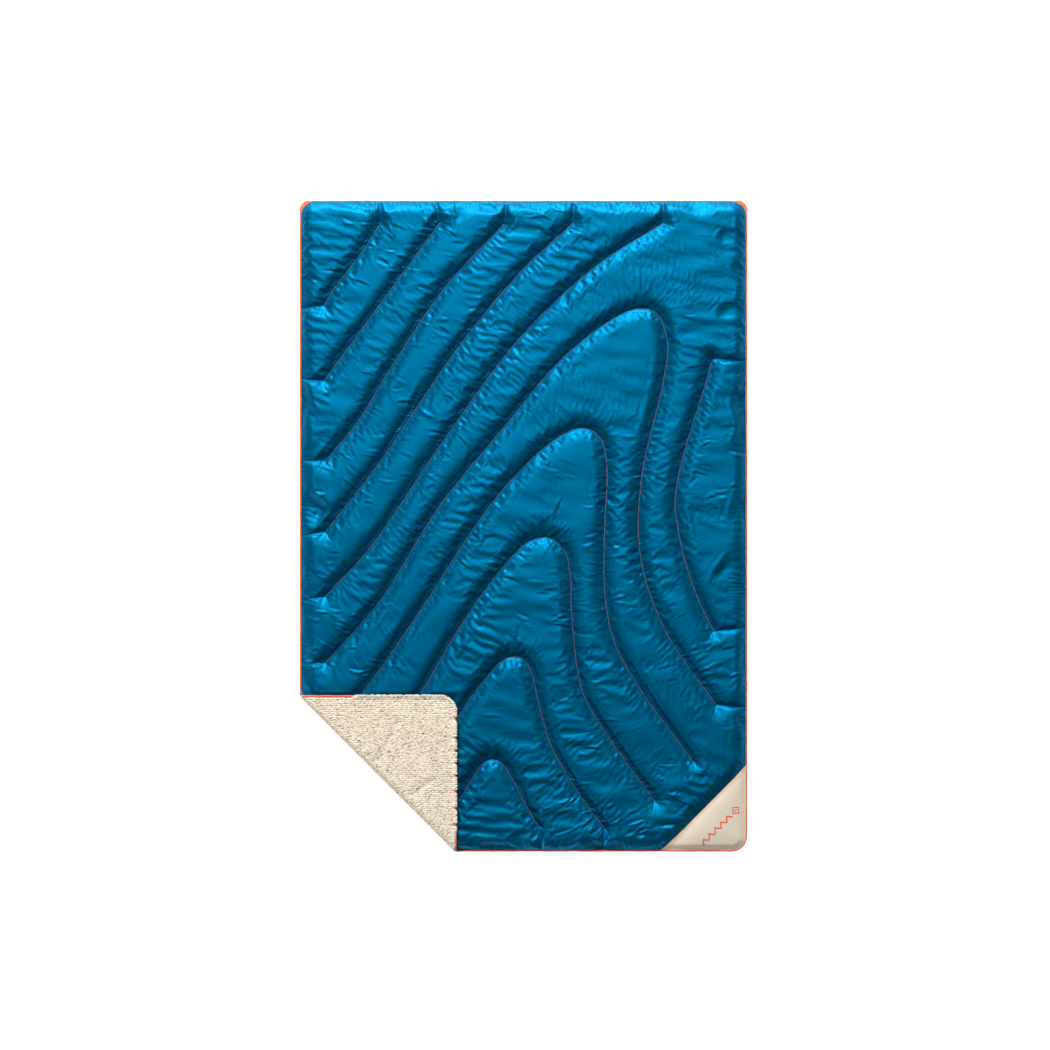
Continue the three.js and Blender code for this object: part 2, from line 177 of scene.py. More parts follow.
# Each seam: percent of the width from the left and of the length from the top.
SEAMS = {
    "a": [[18.1, 3.5], [14.1, 7.8], [8, 13.3], [5.4, 16.2]],
    "b": [[31.4, 3.4], [22.5, 11.7], [11.6, 22], [5.5, 27.7]],
    "c": [[45.6, 3.7], [32, 13.8], [19.8, 26.4], [12.7, 34.3], [5.7, 40]],
    "d": [[61, 3.5], [49.1, 11.2], [35.1, 22.9], [26.8, 31.2], [18.3, 39.8], [5.8, 50.9]],
    "e": [[81.1, 3.5], [66.2, 10.1], [49.1, 21.2], [31.6, 37.4], [16, 53.1], [5.8, 60.8]],
    "f": [
        [5.8, 71], [18, 61.4], [31.3, 46.9], [45.4, 35], [60.3, 23.2], [74.4, 16.8], [79.4, 17.2],
        [82.1, 21.7], [81.3, 27.4], [76.4, 42.4], [76, 54.1], [81.2, 65.4], [93, 77.5],
    ],
    "g": [
        [9, 79], [13.8, 75.7], [26.8, 63.1], [39.8, 49.4], [47.3, 42.9], [55.3, 37.6], [60.8, 35.3],
        [63.8, 35], [67.2, 36.5], [68.5, 40], [68, 52.5], [68.2, 60.8], [70.3, 67.8], [75.8, 74.7],
        [87.8, 86.1],
    ],
    "h": [
        [6.3, 91], [15, 87.5], [27, 75.7], [33.7, 67.8], [39.5, 61.6], [47, 55], [51.2, 52.4],
        [55.6, 51.8], [59, 53.6], [60.4, 57.3], [60.7, 63.1], [63.1, 75.2], [68.2, 81.5], [79.3, 92.2],
    ],
    "i": [
        [19, 96.2], [24.5, 91], [35.7, 78.9], [41.9, 73], [44.9, 70.8], [47.6, 70], [50.1, 70.5],
        [51.9, 72.8], [53.6, 77.8], [56.4, 84], [62, 90.6], [68.1, 96.4],
    ],
    "j": [
        [32.8, 95.1], [35.5, 92.2], [39.1, 88.1], [41.1, 86.3], [43.2, 85.8], [44.9, 86.2],
        [46.6, 87.7], [50.4, 92.6], [53.3, 96.1],
    ],
    "k": [
        [92.2, 24.4], [90.1, 29.3], [85.3, 40.1], [83.8, 46], [84.1, 48.8], [86, 55.3], [89.1, 61.4],
        [92.4, 66.1],
    ],
}


def ease(value):
    value = np.clip(value, 0, 1)
    return value * value * (3 - 2 * value)


def run_along(line):
    return np.concatenate([[0], np.cumsum(np.linalg.norm(np.diff(line, axis=0), axis=1))])


def places_at(line, run, at):
    return np.stack([np.interp(at, run, line[:, 0]), np.interp(at, run, line[:, 1])], 1)


def traced(points, step):
    """A smooth line through the points, evenly spaced."""
    knots = np.array([((x / 100 - 0.5) * WIDTH, (0.5 - y / 100) * LENGTH) for x, y in points])
    knots = np.vstack([2 * knots[0] - knots[1], knots, 2 * knots[-1] - knots[-2]])
    line = []
    for k in range(1, len(knots) - 2):
        near = knots[k - 1 : k + 3]
        times = np.concatenate([[0], np.cumsum(np.linalg.norm(np.diff(near, axis=0), axis=1) ** 0.5)])
        t = np.linspace(times[1], times[2], 60, endpoint=False)[:, None]
        layer = list(near)
        for reach in (1, 2):
            layer = [
                ((times[i + reach] - t) * layer[i] + (t - times[i]) * layer[i + 1])
                / (times[i + reach] - times[i])
                for i in range(4 - reach)
            ]
        line.append(((times[2] - t) * layer[0] + (t - times[1]) * layer[1]) / (times[2] - times[1]))
    line = np.vstack([*line, knots[-2:-1]])
    run = run_along(line)
    return places_at(line, run, np.linspace(0, run[-1], int(run[-1] / step) + 1))


def nearest(points, lines):
    """For each point: gap to the closest line, run along it, side, the line's heading and nearest place."""
    joined = np.vstack(lines)
    tangents = np.vstack([np.gradient(line, axis=0) for line in lines])
    tangents /= np.linalg.norm(tangents, axis=1)[:, None]
    along = np.concatenate(
        [np.arange(len(line)) * SEAM_STEP + 7.3 * number for number, line in enumerate(lines)]
    )
    tree = KDTree(len(joined))
    for number, (x, y) in enumerate(joined.tolist()):
        tree.insert((x, y, 0), number)
    tree.balance()
    found = np.array([tree.find((x, y, 0))[1:] for x, y in points.tolist()])
    which = found[:, 0].astype(int)
    off = points - joined[which]
    side = np.sign(tangents[which, 0] * off[:, 1] - tangents[which, 1] * off[:, 0])
    heading = np.arctan2(tangents[which, 1], tangents[which, 0])
    return found[:, 1], along[which], side, heading, joined[which]


def smoothed(field, across, down, lean=0.0):
    """A field of rows and columns, blurred over that many cells along a leaning line and across it."""
    row = np.fft.fftfreq(field.shape[0])[:, None]
    column = np.fft.rfftfreq(field.shape[1])[None]
    with_lean = column * math.cos(lean) + row * math.sin(lean)
    over_lean = row * math.cos(lean) - column * math.sin(lean)
    kept = np.exp(-2 * math.pi**2 * ((over_lean * down) ** 2 + (with_lean * across) ** 2))
    return np.fft.irfft2(np.fft.rfft2(field) * kept, s=field.shape)


def noise_field(shape, across, down, seed, lean=0.0):
    """Smooth noise of deviation 1 over rows and columns, drawn out along a leaning direction."""
    field = smoothed(np.random.default_rng(seed).normal(0, 1, shape), across, down, lean)
    return (field - field.mean()) / field.std()


def from_edge(x, y):
    """Distance in from the blanket's rounded outline."""
    over_x = abs(x) - (WIDTH / 2 - CORNER_RADIUS)
    over_y = abs(y) - (LENGTH / 2 - CORNER_RADIUS)
    corner = np.hypot(np.maximum(over_x, 0), np.maximum(over_y, 0))
    return CORNER_RADIUS - corner - np.minimum(np.maximum(over_x, over_y), 0)


def past_fold(x, y):
    return (-x - y) * SLANT - FOLD_DISTANCE


def past_hem(x, y):
    """Distance from the corner patch's hem towards its corner."""
    return (x - y - (WIDTH / 2 + LENGTH / 2 - PATCH_LEG)) * SLANT


def dome(distance, reach):
    return 1 - (1 - np.clip(distance / reach, 0, 1)) ** 2.1


seam_lines = {name: traced(points, SEAM_STEP) for name, points in SEAMS.items()}
hem_line = np.linspace(
    (WIDTH / 2, -LENGTH / 2 + PATCH_LEG), (WIDTH / 2 - PATCH_LEG, -LENGTH / 2), 180
)
crease_lines = []
crease_stray = np.random.default_rng(26)
for line in seam_lines.values():
    for end in (line[0], line[-1]):
        gaps = [end[0] + WIDTH / 2, WIDTH / 2 - end[0], LENGTH / 2 - end[1], end[1] + LENGTH / 2]
        if past_hem(*end) > -0.12 or min(gaps) > 0.2:
            continue
        reach = end.copy()
        side = int(np.argmin(gaps))
        reach[side // 2] = (-WIDTH / 2, WIDTH / 2, LENGTH / 2, -LENGTH / 2)[side]
        reach[1 - side // 2] += crease_stray.uniform(-0.014, 0.014)
        crease_lines.append(np.linspace(end, reach, 40))

columns = int(WIDTH / CLOTH_STEP) + 1
rows = int(LENGTH / CLOTH_STEP) + 1
cell_x = WIDTH / (columns - 1)
cell_y = LENGTH / (rows - 1)
cloth_x, cloth_y = np.meshgrid(
    np.linspace(-WIDTH / 2, WIDTH / 2, columns), np.linspace(LENGTH / 2, -LENGTH / 2, rows)
)
cloth_points = np.stack([cloth_x.ravel(), cloth_y.ravel()], 1)
sewn_lines = [*seam_lines.values(), hem_line]
seam_gap, _, _, heading, _ = nearest(cloth_points, sewn_lines)
seam_gap = seam_gap.reshape(rows, columns)
heading = heading.reshape(rows, columns)
crease_gap = nearest(cloth_points, crease_lines)[0].reshape(rows, columns)
edge_gap = from_edge(cloth_x, cloth_y)


def loft_height(seam_distance, edge_distance):
    return LOFT * np.minimum(dome(seam_distance, LOFT_REACH), dome(edge_distance, EDGE_REACH))


edge_sway = 1 + 0.28 * noise_field((rows, columns), 5, 5, 28)
target = loft_height(seam_gap, edge_gap * edge_sway)
target = target * (1 - 0.45 * np.exp(-((crease_gap / 0.009) ** 1.3)))


def lay_of(seam_heading):
    """Which way folds lie beside a seam: square to a level seam's, and nearer level where it slants."""
    square = seam_heading % math.pi - math.pi / 2
    return square * (0.35 + 0.65 * abs(square / (math.pi / 2)) ** 3)


twice = np.arctan2(smoothed(np.sin(2 * heading), 7, 7), smoothed(np.cos(2 * heading), 7, 7))
lay = lay_of(twice / 2) + np.radians(8 * noise_field((rows, columns), 20, 20, 13))
busy = 1 + 0.30 * ease((0.15 - cloth_y) / 0.5)
for x, y, reach, amount in CALM_SPOTS:
    busy = busy * (1 - amount * np.exp(-(((cloth_x - x) ** 2 + (cloth_y - y) ** 2) / reach**2)))


def settle_cloth():
    """Lets a sheet with spare length find its folds over the fill, held down along every seam."""
    shape = (rows, columns)
    spare = 0.72 * noise_field(shape, 7.5, 5.0, 11) + 0.35 * noise_field(shape, 26, 26, 12) + 0.40
    spare = np.clip(spare, 0, 2.2) * SPARE_CLOTH
    spare = spare * (0.62 + 0.75 * np.exp(-((seam_gap / 0.022) ** 2)))
    spare = spare * (1 - ease(past_hem(cloth_x, cloth_y) / 0.01))
    spare = spare * busy
    turn = -lay
    spare_x = spare * np.sin(turn) ** 2 + 0.006
    spare_y = spare * np.cos(turn) ** 2
    spare_xy = spare * np.sin(turn) * np.cos(turn)
    held = (seam_gap < 0.55 * CLOTH_STEP) | (edge_gap < 0.3 * CLOTH_STEP)
    start = noise_field(shape, 6.0, 2.0, 3, math.radians(9)) * 0.0018 * ease(seam_gap / 0.02)
    cloth = np.stack([cloth_x, cloth_y, np.where(held, 0, target + start)], -1)
    loose = np.where(held, 0.0, 1.0)
    links = []
    for down, across, firmness in CLOTH_LINKS:
        for parity in (0, 1):
            if down == 0:
                first = np.arange(columns - across)
                first = first[(first // across) % 2 == parity]
                a, b = (slice(None), first), (slice(None), first + across)
            else:
                first = np.arange(rows - down)
                first = first[(first // down) % 2 == parity]
                left = slice(max(0, -across), columns - max(0, across))
                right = slice(max(0, across), columns - max(0, -across))
                a, b = (first, left), (first + down, right)
            run_x, run_y = across * cell_x, -down * cell_y
            longer = (spare_x[a] + spare_x[b]) * run_x**2 + (spare_y[a] + spare_y[b]) * run_y**2
            longer = longer + 2 * (spare_xy[a] + spare_xy[b]) * run_x * run_y
            rest = np.sqrt(run_x**2 + run_y**2 + longer + (target[a] - target[b]) ** 2)
            share = firmness / np.maximum(loose[a] + loose[b], 1)
            links.append((a, b, loose[a] * share, loose[b] * share, rest))
    speed = np.zeros_like(cloth)
    for _ in range(SETTLE_STEPS):
        speed *= 0.88
        speed[..., 2] += 0.0006 * (target - cloth[..., 2])
        speed *= loose[..., None]
        before = cloth.copy()
        cloth += speed
        for a, b, move_a, move_b, rest in links:
            gap = cloth[b] - cloth[a]
            length = np.sqrt((gap * gap).sum(-1)) + 1e-12
            pull = ((length - rest) / length)[..., None] * gap
            cloth[a] += pull * move_a[..., None]
            cloth[b] -= pull * move_b[..., None]
        cloth[..., 2] = np.maximum(cloth[..., 2], -0.002)
        speed = np.clip(cloth - before, -MOST_SPEED, MOST_SPEED)
    return cloth


cloth = settle_cloth()
shift_x = cloth[..., 0] - cloth_x
shift_y = cloth[..., 1] - cloth_y
puff = cloth[..., 2]


def sampled(field, x, y):
    """A field's value at any point, on a smooth curve through its cells."""
    down, across = field.shape
    u = np.clip((x / WIDTH + 0.5) * (across - 1), 0, across - 1.001)
    v = np.clip((0.5 - y / LENGTH) * (down - 1), 0, down - 1.001)
    i, j = u.astype(int), v.astype(int)
    weights = []
    for f in (u - i, v - j):
        weights.append([
            -0.5 * f + f**2 - 0.5 * f**3,
            1 - 2.5 * f**2 + 1.5 * f**3,
            0.5 * f + 2 * f**2 - 1.5 * f**3,
            -0.5 * f**2 + 0.5 * f**3,
        ])
    total = 0.0
    for b in range(4):
        row = np.clip(j + b - 1, 0, down - 1)
        for a in range(4):
            column = np.clip(i + a - 1, 0, across - 1)
            total = total + weights[1][b] * weights[0][a] * field[row, column]
    return total


wander = [noise_field((rows, columns), 7, 7, seed) for seed in (21, 22, 23)]
wander_wide = noise_field((rows, columns), 14, 14, 24)


def lift(height, inside):
    """How high a ply that lies that far above the underside is, where the fold's roll carries it up."""
    run = np.clip(inside + FOLD_RADIUS, 0, None)
    radius = FOLD_RADIUS - height
    return np.minimum(FOLD_RADIUS - np.sqrt(np.maximum(radius**2 - run**2, 0)), FOLD_RADIUS - 0.0001)


def hump(distance, reach):
    """Rises from nothing at a line to 1 at that reach, and dies away past it."""
    share = np.clip(distance / reach, 0, None)
    return share * np.exp(1 - share)


def beside_long_edge(x, y):
    return (WIDTH / 2 - abs(x)) < (LENGTH / 2 - abs(y))


def puckers(x, y, gap, along, side):
    """Small gathers that the stitches and the edge seam pull in the cloth."""
    n1, n2, n3 = (sampled(field, x, y) for field in wander)
    to_right = 0.65 + 0.55 * ease((x - 0.02) / 0.25)
    gathers = np.sin(2 * math.pi * (along / 0.0078 + 0.45 * n1 + 0.35 * side))
    gathers = gathers * np.clip(0.55 + 0.55 * n2, 0, 2)
    height = 0.00009 * to_right * hump(gap, 0.0042) * gathers
    edge = from_edge(x, y)
    edge_run = np.where(beside_long_edge(x, y), y, x)
    wave = np.sin(2 * math.pi * (edge_run / 0.0175 + 1.1 * n2)) * (0.75 + 0.5 * n1)
    height += 0.0005 * hump(edge, 0.013) * wave
    height += 0.0005 * hump(edge, 0.005) * np.sin(2 * math.pi * (edge_run / 0.0082 + 0.8 * n3))
    return height


# The folds themselves: how long, how wide and how high each kind is, and how often it comes.
GATHER_PITCH = 0.0095
LONG_SHARE = 0.42
LONG_FOLD = ((0.030, 0.075), (0.0040, 0.0066), (0.0015, 0.0028))
SHORT_FOLD = ((0.014, 0.032), (0.0023, 0.0034), (0.0007, 0.0014))
STAR_TURNS = np.linspace(-1.9, 1.9, 9)
STAR_FOLD = ((0.022, 0.060), (0.0030, 0.0046), (0.0012, 0.0021))
EDGE_PITCH = 0.0115
EDGE_FOLD = ((0.014, 0.046), (0.0030, 0.0048), (0.0009, 0.0019))
LENS_COUNT = 560
LENS_FOLD = ((0.025, 0.070), (0.0046, 0.0076), (0.0012, 0.0025))

fine_x = np.linspace(-WIDTH / 2, WIDTH / 2, FOLD_DETAIL * (columns - 1) + 1)
fine_y = np.linspace(LENGTH / 2, -LENGTH / 2, FOLD_DETAIL * (rows - 1) + 1)
folds = np.zeros((len(fine_y), len(fine_x)))
chance = np.random.default_rng(25)
bustle = noise_field((rows, columns), 13, 13, 27)


def drawn_size(kind):
    return [chance.uniform(*limits) for limits in kind]


def add_fold(start, angle, size, amount=1.0, lens=False):
    """Draws one tapering fold: a valley beside a ridge, sharp where it starts and lost where it ends."""
    length, width, height = size
    way_x, way_y = math.cos(angle), math.sin(angle)
    bend = chance.uniform(-0.22, 0.22)
    ridge_side = chance.choice((-1.1, 1.1))
    reach = 3 * width + abs(bend) * length
    ends_x = sorted((start[0], start[0] + way_x * length))
    ends_y = sorted((start[1], start[1] + way_y * length))
    in_x = slice(*np.searchsorted(fine_x, (ends_x[0] - reach, ends_x[1] + reach)))
    in_y = slice(*np.searchsorted(-fine_y, (-ends_y[1] - reach, reach - ends_y[0])))
    x = fine_x[in_x][None] - start[0]
    y = fine_y[in_y][:, None] - start[1]
    run = (x * way_x + y * way_y) / length
    off = y * way_x - x * way_y - bend * length * run**2
    kept = np.clip(run, 0, 1)
    if lens:
        swell = (4 * kept * (1 - kept)) ** 1.2
        spread = width * (0.4 + 0.6 * swell)
    else:
        swell = ease(run / 0.10) * (1 - kept) ** 1.1
        spread = width * (0.5 + 0.9 * kept)
    off = off / spread
    shape = 0.85 * np.exp(-((off - ridge_side) ** 2)) - 0.75 * np.exp(-((1.15 * abs(off)) ** 1.4))
    folds[in_y, in_x] += height * amount * swell * shape


def bustle_at(x, y):
    """How strongly the cloth gathers at a place, and which way its folds lie."""
    row = min(max(int((LENGTH / 2 - y) / cell_y), 0), rows - 1)
    column = min(max(int((x + WIDTH / 2) / cell_x), 0), columns - 1)
    strength = min(max(0.62 + 0.52 * bustle[row, column], 0.08), 1.7)
    return busy[row, column] * strength, lay[row, column]


for line in seam_lines.values():
    ways = np.gradient(line, axis=0)
    headings = np.unwrap(np.arctan2(ways[:, 1], ways[:, 0]))
    index = np.arange(len(line))
    turned = headings[np.minimum(index + 10, len(line) - 1)] - headings[np.maximum(index - 10, 0)]
    curving = turned / (20 * SEAM_STEP)
    for side in (1, -1):
        at = 0.0
        while True:
            at += chance.uniform(0.35, 1.65) * GATHER_PITCH
            k = int(at / SEAM_STEP)
            if k >= len(line):
                break
            outward = headings[k] + side * math.pi / 2
            angle = lay_of(headings[k]) + chance.normal(0, 0.20)
            if math.cos(angle - outward) < 0:
                angle += math.pi
            outer = min(max(-side * curving[k] * 0.05, -0.7), 1.0)
            shaded = math.sin(outward)
            if chance.random() > 0.64 + 0.38 * shaded:
                continue
            amount = bustle_at(*line[k])[0] * (1 + 0.5 * outer) * (0.78 + 0.36 * shaded)
            kind = LONG_FOLD if chance.random() < LONG_SHARE else SHORT_FOLD
            add_fold(line[k], angle, drawn_size(kind), amount)
    for end, before in ((line[0], line[6]), (line[-1], line[-7])):
        ahead = math.atan2(*(end - before)[::-1])
        for step in STAR_TURNS:
            turn = ahead + step + chance.uniform(-0.2, 0.2)
            add_fold(end, turn, drawn_size(STAR_FOLD))

for inward, fixed, span in (
    (0, -WIDTH / 2, LENGTH),
    (math.pi, WIDTH / 2, LENGTH),
    (-math.pi / 2, LENGTH / 2, WIDTH),
    (math.pi / 2, -LENGTH / 2, WIDTH),
):
    at = -span / 2 + 0.03
    while at < span / 2 - 0.03:
        at += chance.uniform(0.5, 1.6) * EDGE_PITCH
        start = (at, fixed) if span == WIDTH else (fixed, at)
        angle = inward + chance.normal(0, 0.30)
        add_fold(start, angle, drawn_size(EDGE_FOLD))

for _ in range(LENS_COUNT):
    x = chance.uniform(-0.48, 0.48) * WIDTH
    y = chance.uniform(-0.48, 0.48) * LENGTH
    amount, way = bustle_at(x, y)
    size = drawn_size(LENS_FOLD)
    start = (x - math.cos(way) * size[0] / 2, y - math.sin(way) * size[0] / 2)
    add_fold(start, way + chance.normal(0, 0.22), size, amount, lens=True)


def patch_surface(x, y):
    """The corner patch's outer face: low at the piping and the hem, gently crowned between them."""
    edge = from_edge(x, y) - SHELL_INSET
    hem = past_hem(x, y)
    height = EDGE_LEVEL + 0.0014 + 0.0046 * ease(edge / 0.020)
    height += 0.0060 * dome(hem, 0.05) * dome(edge, 0.06)
    height += 0.0007 * sampled(wander[2], x, y) * ease(edge / 0.02) * ease(hem / 0.02)
    height += 0.0006 * sampled(wander_wide, x, y) * ease(edge / 0.02) * ease(hem / 0.02)
    return height + 0.0006 * (1 - ease((hem - HEM_WIDTH) / 0.0015))


def top_surface(x, y):
    """Where the outer cloth is, over each point of the flat blanket."""
    points = np.stack([x, y], 1)
    gap, along, side, seam_heading, foot = nearest(points, sewn_lines)
    lit = ease(-1.4 * side * np.cos(seam_heading))
    drawn = ease((0.0015 - gap) / 0.0005)
    gap = gap * (1 - drawn)
    crease = nearest(points, crease_lines)[0]
    edge = from_edge(x, y) - SHELL_INSET
    exact = loft_height(gap, edge)
    field = sampled(puff, x, y)
    mixed = exact + (field - exact) * ease(gap / (0.009 + 0.008 * lit))
    mixed = mixed + sampled(folds, x, y) * ease(gap / (0.0055 + 0.012 * lit)) * ease(edge / 0.004)
    mixed = mixed * (1 - 0.40 * np.exp(-((crease / 0.0045) ** 1.2)) * ease(gap / 0.004))
    smooth = ease(past_hem(x, y) / 0.004)
    mixed = mixed + puckers(x, y, gap, along, side) * (1 - smooth) * (1 - 0.7 * lit)
    level = EDGE_LEVEL + (SEAM_LEVEL - EDGE_LEVEL) * ease(edge / EDGE_RUN)
    height = level + np.maximum(mixed, 0) * ease((edge + 0.002) / 0.004)
    height = height - GROOVE_DEPTH * np.exp(-gap / GROOVE_WIDTH) * (1 - smooth)
    past = past_fold(x, y)
    inside = -abs(past)
    covered = np.minimum(-WIDTH / 2 + FOLD_LEG - x, -LENGTH / 2 + FOLD_LEG - y)
    pressed = np.maximum(ease((covered + 0.012) / 0.03), ease((past + 0.03) / 0.03))
    pressed_height = np.minimum(height, PRESSED_LEVEL + np.maximum(height - PRESSED_LEVEL, 0) * 0.5)
    pressed_height = np.minimum(pressed_height, PRESSED_MOST)
    height = height + (pressed_height - height) * pressed
    height = height + (patch_surface(x, y) - 0.0019 - height) * ease(past_hem(x, y) / 0.0025)
    flat = ease((FLAT_BAND - abs(past)) / 0.021)
    rolled = lift(EDGE_LEVEL, inside)
    level_land = rolled + (FOLD_RADIUS - LAND_DROP - rolled) * ease(edge / 0.02)
    height = height + (level_land - height) * flat
    calm = (1 - flat) * ease(edge / 0.012) * ease(gap / 0.006)
    move_x = sampled(shift_x, x, y) * calm + (foot[:, 0] - x) * drawn
    move_y = sampled(shift_y, x, y) * calm + (foot[:, 1] - y) * drawn
    return move_x, move_y, height


def rounded(x, y, inset):
    """Draws a rectangle's corners in to the blanket's rounded outline, that far inside it."""
    radius = CORNER_RADIUS - inset
    over_x = np.maximum(abs(x) - (WIDTH / 2 - CORNER_RADIUS), 0)
    over_y = np.maximum(abs(y) - (LENGTH / 2 - CORNER_RADIUS), 0)
    long = np.hypot(over_x, over_y)
    share = np.where(long > 0, np.maximum(over_x, over_y) / np.maximum(long, 1e-9), 1)
    share = share * radius / CORNER_RADIUS
    x_in = np.sign(x) * (np.minimum(abs(x), WIDTH / 2 - CORNER_RADIUS) + over_x * share)
    y_in = np.sign(y) * (np.minimum(abs(y), LENGTH / 2 - CORNER_RADIUS) + over_y * share)
    return x_in, y_in


def get_points(piece):
    flat = np.zeros(len(piece.data.vertices) * 3)
    piece.data.vertices.foreach_get("co", flat)
    return flat.reshape(-1, 3)


def set_points(piece, points):
    piece.data.vertices.foreach_set("co", np.ascontiguousarray(points).ravel())
    piece.data.update()


def turned_back(points):
    """Turns points of the flat blanket half a turn about the fold, to where the corner lies at rest."""
    return np.stack(
        [-FOLD_SUM - points[:, 1], -FOLD_SUM - points[:, 0], 2 * FOLD_RADIUS - points[:, 2]], 1
    )


def select_only(piece):
    bpy.ops.object.select_all(action="DESELECT")
    piece.select_set(True)
    bpy.context.view_layer.objects.active = piece


def add_thickness(piece, thickness):
    """Thickens an open sheet away from the face that shows."""
    thick = piece.modifiers.new("two_sides", "SOLIDIFY")
    thick.thickness = thickness
    thick.offset = -1
    bpy.ops.object.modifier_apply(modifier=thick.name)


def facing_up(piece):
    """How far each face of a piece faces up, from -1 to 1."""
    normals = np.zeros(len(piece.data.polygons) * 3)
    piece.data.polygons.foreach_get("normal", normals)
    return normals.reshape(-1, 3)[:, 2]


def slab(name, low, high, cells, cuts, upper):
    """A flat two-sided slab from low to high. The face that shows is cut finer than the other."""
    bpy.ops.object.select_all(action="DESELECT")
    bpy.ops.mesh.primitive_grid_add(x_subdivisions=cells[0], y_subdivisions=cells[1], size=2)
    piece = bpy.context.object
    piece.name = name
    points = get_points(piece)
    middle = (np.array(low) + np.array(high)) / 2
    half = (np.array(high) - np.array(low)) / 2
    points[:, :2] = points[:, :2] * half + middle
    set_points(piece, points)
    add_thickness(piece, SLAB_THICK)
    bpy.ops.object.mode_set(mode="EDIT")
    bpy.ops.mesh.select_mode(type="FACE")
    bpy.ops.mesh.select_all(action="DESELECT")
    bpy.ops.object.mode_set(mode="OBJECT")
    piece.data.polygons.foreach_set("select", facing_up(piece) * (1 if upper else -1) > 0.5)
    if cuts:
        bpy.ops.object.mode_set(mode="EDIT")
        bpy.ops.mesh.subdivide(number_cuts=cuts)
        bpy.ops.object.mode_set(mode="OBJECT")
    return piece


def cut_at_fold(piece, distance, keep_corner):
    """Cuts a slab along a line that far past the fold, keeps one side, and adds lines by the bend."""
    select_only(piece)
    bpy.ops.object.mode_set(mode="EDIT")
    normal = (-SLANT, -SLANT, 0)
    for step in (0.005, 0.010, 0.016, 0.024):
        away = distance + (step if keep_corner else -step)
        place = -(FOLD_DISTANCE + away) * SLANT
        bpy.ops.mesh.select_all(action="SELECT")
        bpy.ops.mesh.bisect(plane_co=(place, place, 0), plane_no=normal)
    place = -(FOLD_DISTANCE + distance) * SLANT
    bpy.ops.mesh.select_all(action="SELECT")
    bpy.ops.mesh.bisect(
        plane_co=(place, place, 0), plane_no=normal, use_fill=True,
        clear_inner=keep_corner, clear_outer=not keep_corner,
    )
    bpy.ops.object.mode_set(mode="OBJECT")


def smooth_shaded(piece, degrees=None):
    select_only(piece)
    if degrees is None:
        bpy.ops.object.shade_smooth()
    else:
        bpy.ops.object.shade_smooth_by_angle(angle=math.radians(degrees))


def copy_of(piece, name):
    twin = piece.copy()
    twin.data = piece.data.copy()
    twin.name = name
    bpy.context.scene.collection.objects.link(twin)
    return twin


def shape_pad(piece, corner):
    points = get_points(piece)
    top = points[:, 2] > -SLAB_THICK / 2
    x, y = rounded(points[:, 0], points[:, 1], SHELL_INSET)
    inside = -abs(past_fold(x, y))
    edge = from_edge(x, y) - SHELL_INSET
    z = lift(0.0034 + 0.0029 * ease(edge / 0.024), inside) - 0.00008
    move_x, move_y, height = top_surface(x[top], y[top])
    x[top] += move_x
    y[top] += move_y
    z[top] = height
    points = np.stack([x, y, z], 1)
    set_points(piece, turned_back(points) if corner else points)
    smooth_shaded(piece)


half_low = np.array((-WIDTH / 2, -LENGTH / 2))
pad_main = slab("quilted_top", half_low, -half_low, PAD_CELLS, PAD_CUTS, True)
pad_corner = copy_of(pad_main, "quilted_top_corner")
cut_at_fold(pad_main, -PAD_SPLIT, False)
cut_at_fold(pad_corner, PAD_SPLIT, True)
shape_pad(pad_main, False)
shape_pad(pad_corner, True)


def new_group(name, inputs, outputs):
    """A node group with named sockets. Each input is (name, type, value)."""
    group = bpy.data.node_groups.new(name, "ShaderNodeTree")
    for label, kind, value in inputs:
        socket = group.interface.new_socket(label, in_out="INPUT", socket_type=kind)
        socket.default_value = value
    for label, kind in outputs:
        group.interface.new_socket(label, in_out="OUTPUT", socket_type=kind)
    return group, group.nodes.new("NodeGroupInput"), group.nodes.new("NodeGroupOutput")


def add_node(tree, kind, **settings):
    node = tree.nodes.new(kind)
    for key, value in settings.items():
        setattr(node, key, value)
    return node


def feed(tree, socket, value):
    """Gives an input socket a plain value, or links another node's output to it."""
    if isinstance(value, (int, float, tuple)):
        socket.default_value = value
    else:
        tree.links.new(value, socket)


def maths(tree, operation, first, second):
    node = add_node(tree, "ShaderNodeMath", operation=operation)
    feed(tree, node.inputs[0], first)
    feed(tree, node.inputs[1], second)
    return node.outputs[0]


def waves(tree, run, pitch, operation):
    """A sine or cosine wave of that pitch along a run."""
    turns = maths(tree, "DIVIDE", run, pitch)
    return maths(tree, operation, maths(tree, "MULTIPLY", turns, 2 * math.pi), 0.0)


def colour_mix(tree, share, first, second):
    node = add_node(tree, "ShaderNodeMix", data_type="RGBA")
    feed(tree, node.inputs["Factor"], share)
    feed(tree, node.inputs[6], first)
    feed(tree, node.inputs[7], second)
    return node.outputs[2]


def stained(tree, base, mask, strength, colour):
    """A base colour with another laid over it where a mask says, at most that strongly."""
    return colour_mix(tree, maths(tree, "MULTIPLY", mask, strength), base, colour)


def tone(red, green, blue):
    """A colour given in screen values, as the linear colour that a shader takes."""
    values = (red / 255, green / 255, blue / 255)
    return tuple(v / 12.92 if v <= 0.04045 else ((v + 0.055) / 1.055) ** 2.4 for v in values) + (1.0,)


def add_bump(tree, shader, height, depth, strength=1.0):
    bump = tree.nodes.new("ShaderNodeBump")
    bump.inputs["Distance"].default_value = depth
    bump.inputs["Strength"].default_value = strength
    tree.links.new(height, bump.inputs["Height"])
    tree.links.new(bump.outputs["Normal"], shader.inputs["Normal"])


def finish_piece(piece, material, body, slot, *nodes):
    """Gives a piece its material and body, and hides the CAD nodes it stands for. The slot is not used."""
    piece.data.materials.clear()
    piece.data.materials.append(material)
    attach(piece, body)
    if nodes:
        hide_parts(*nodes)


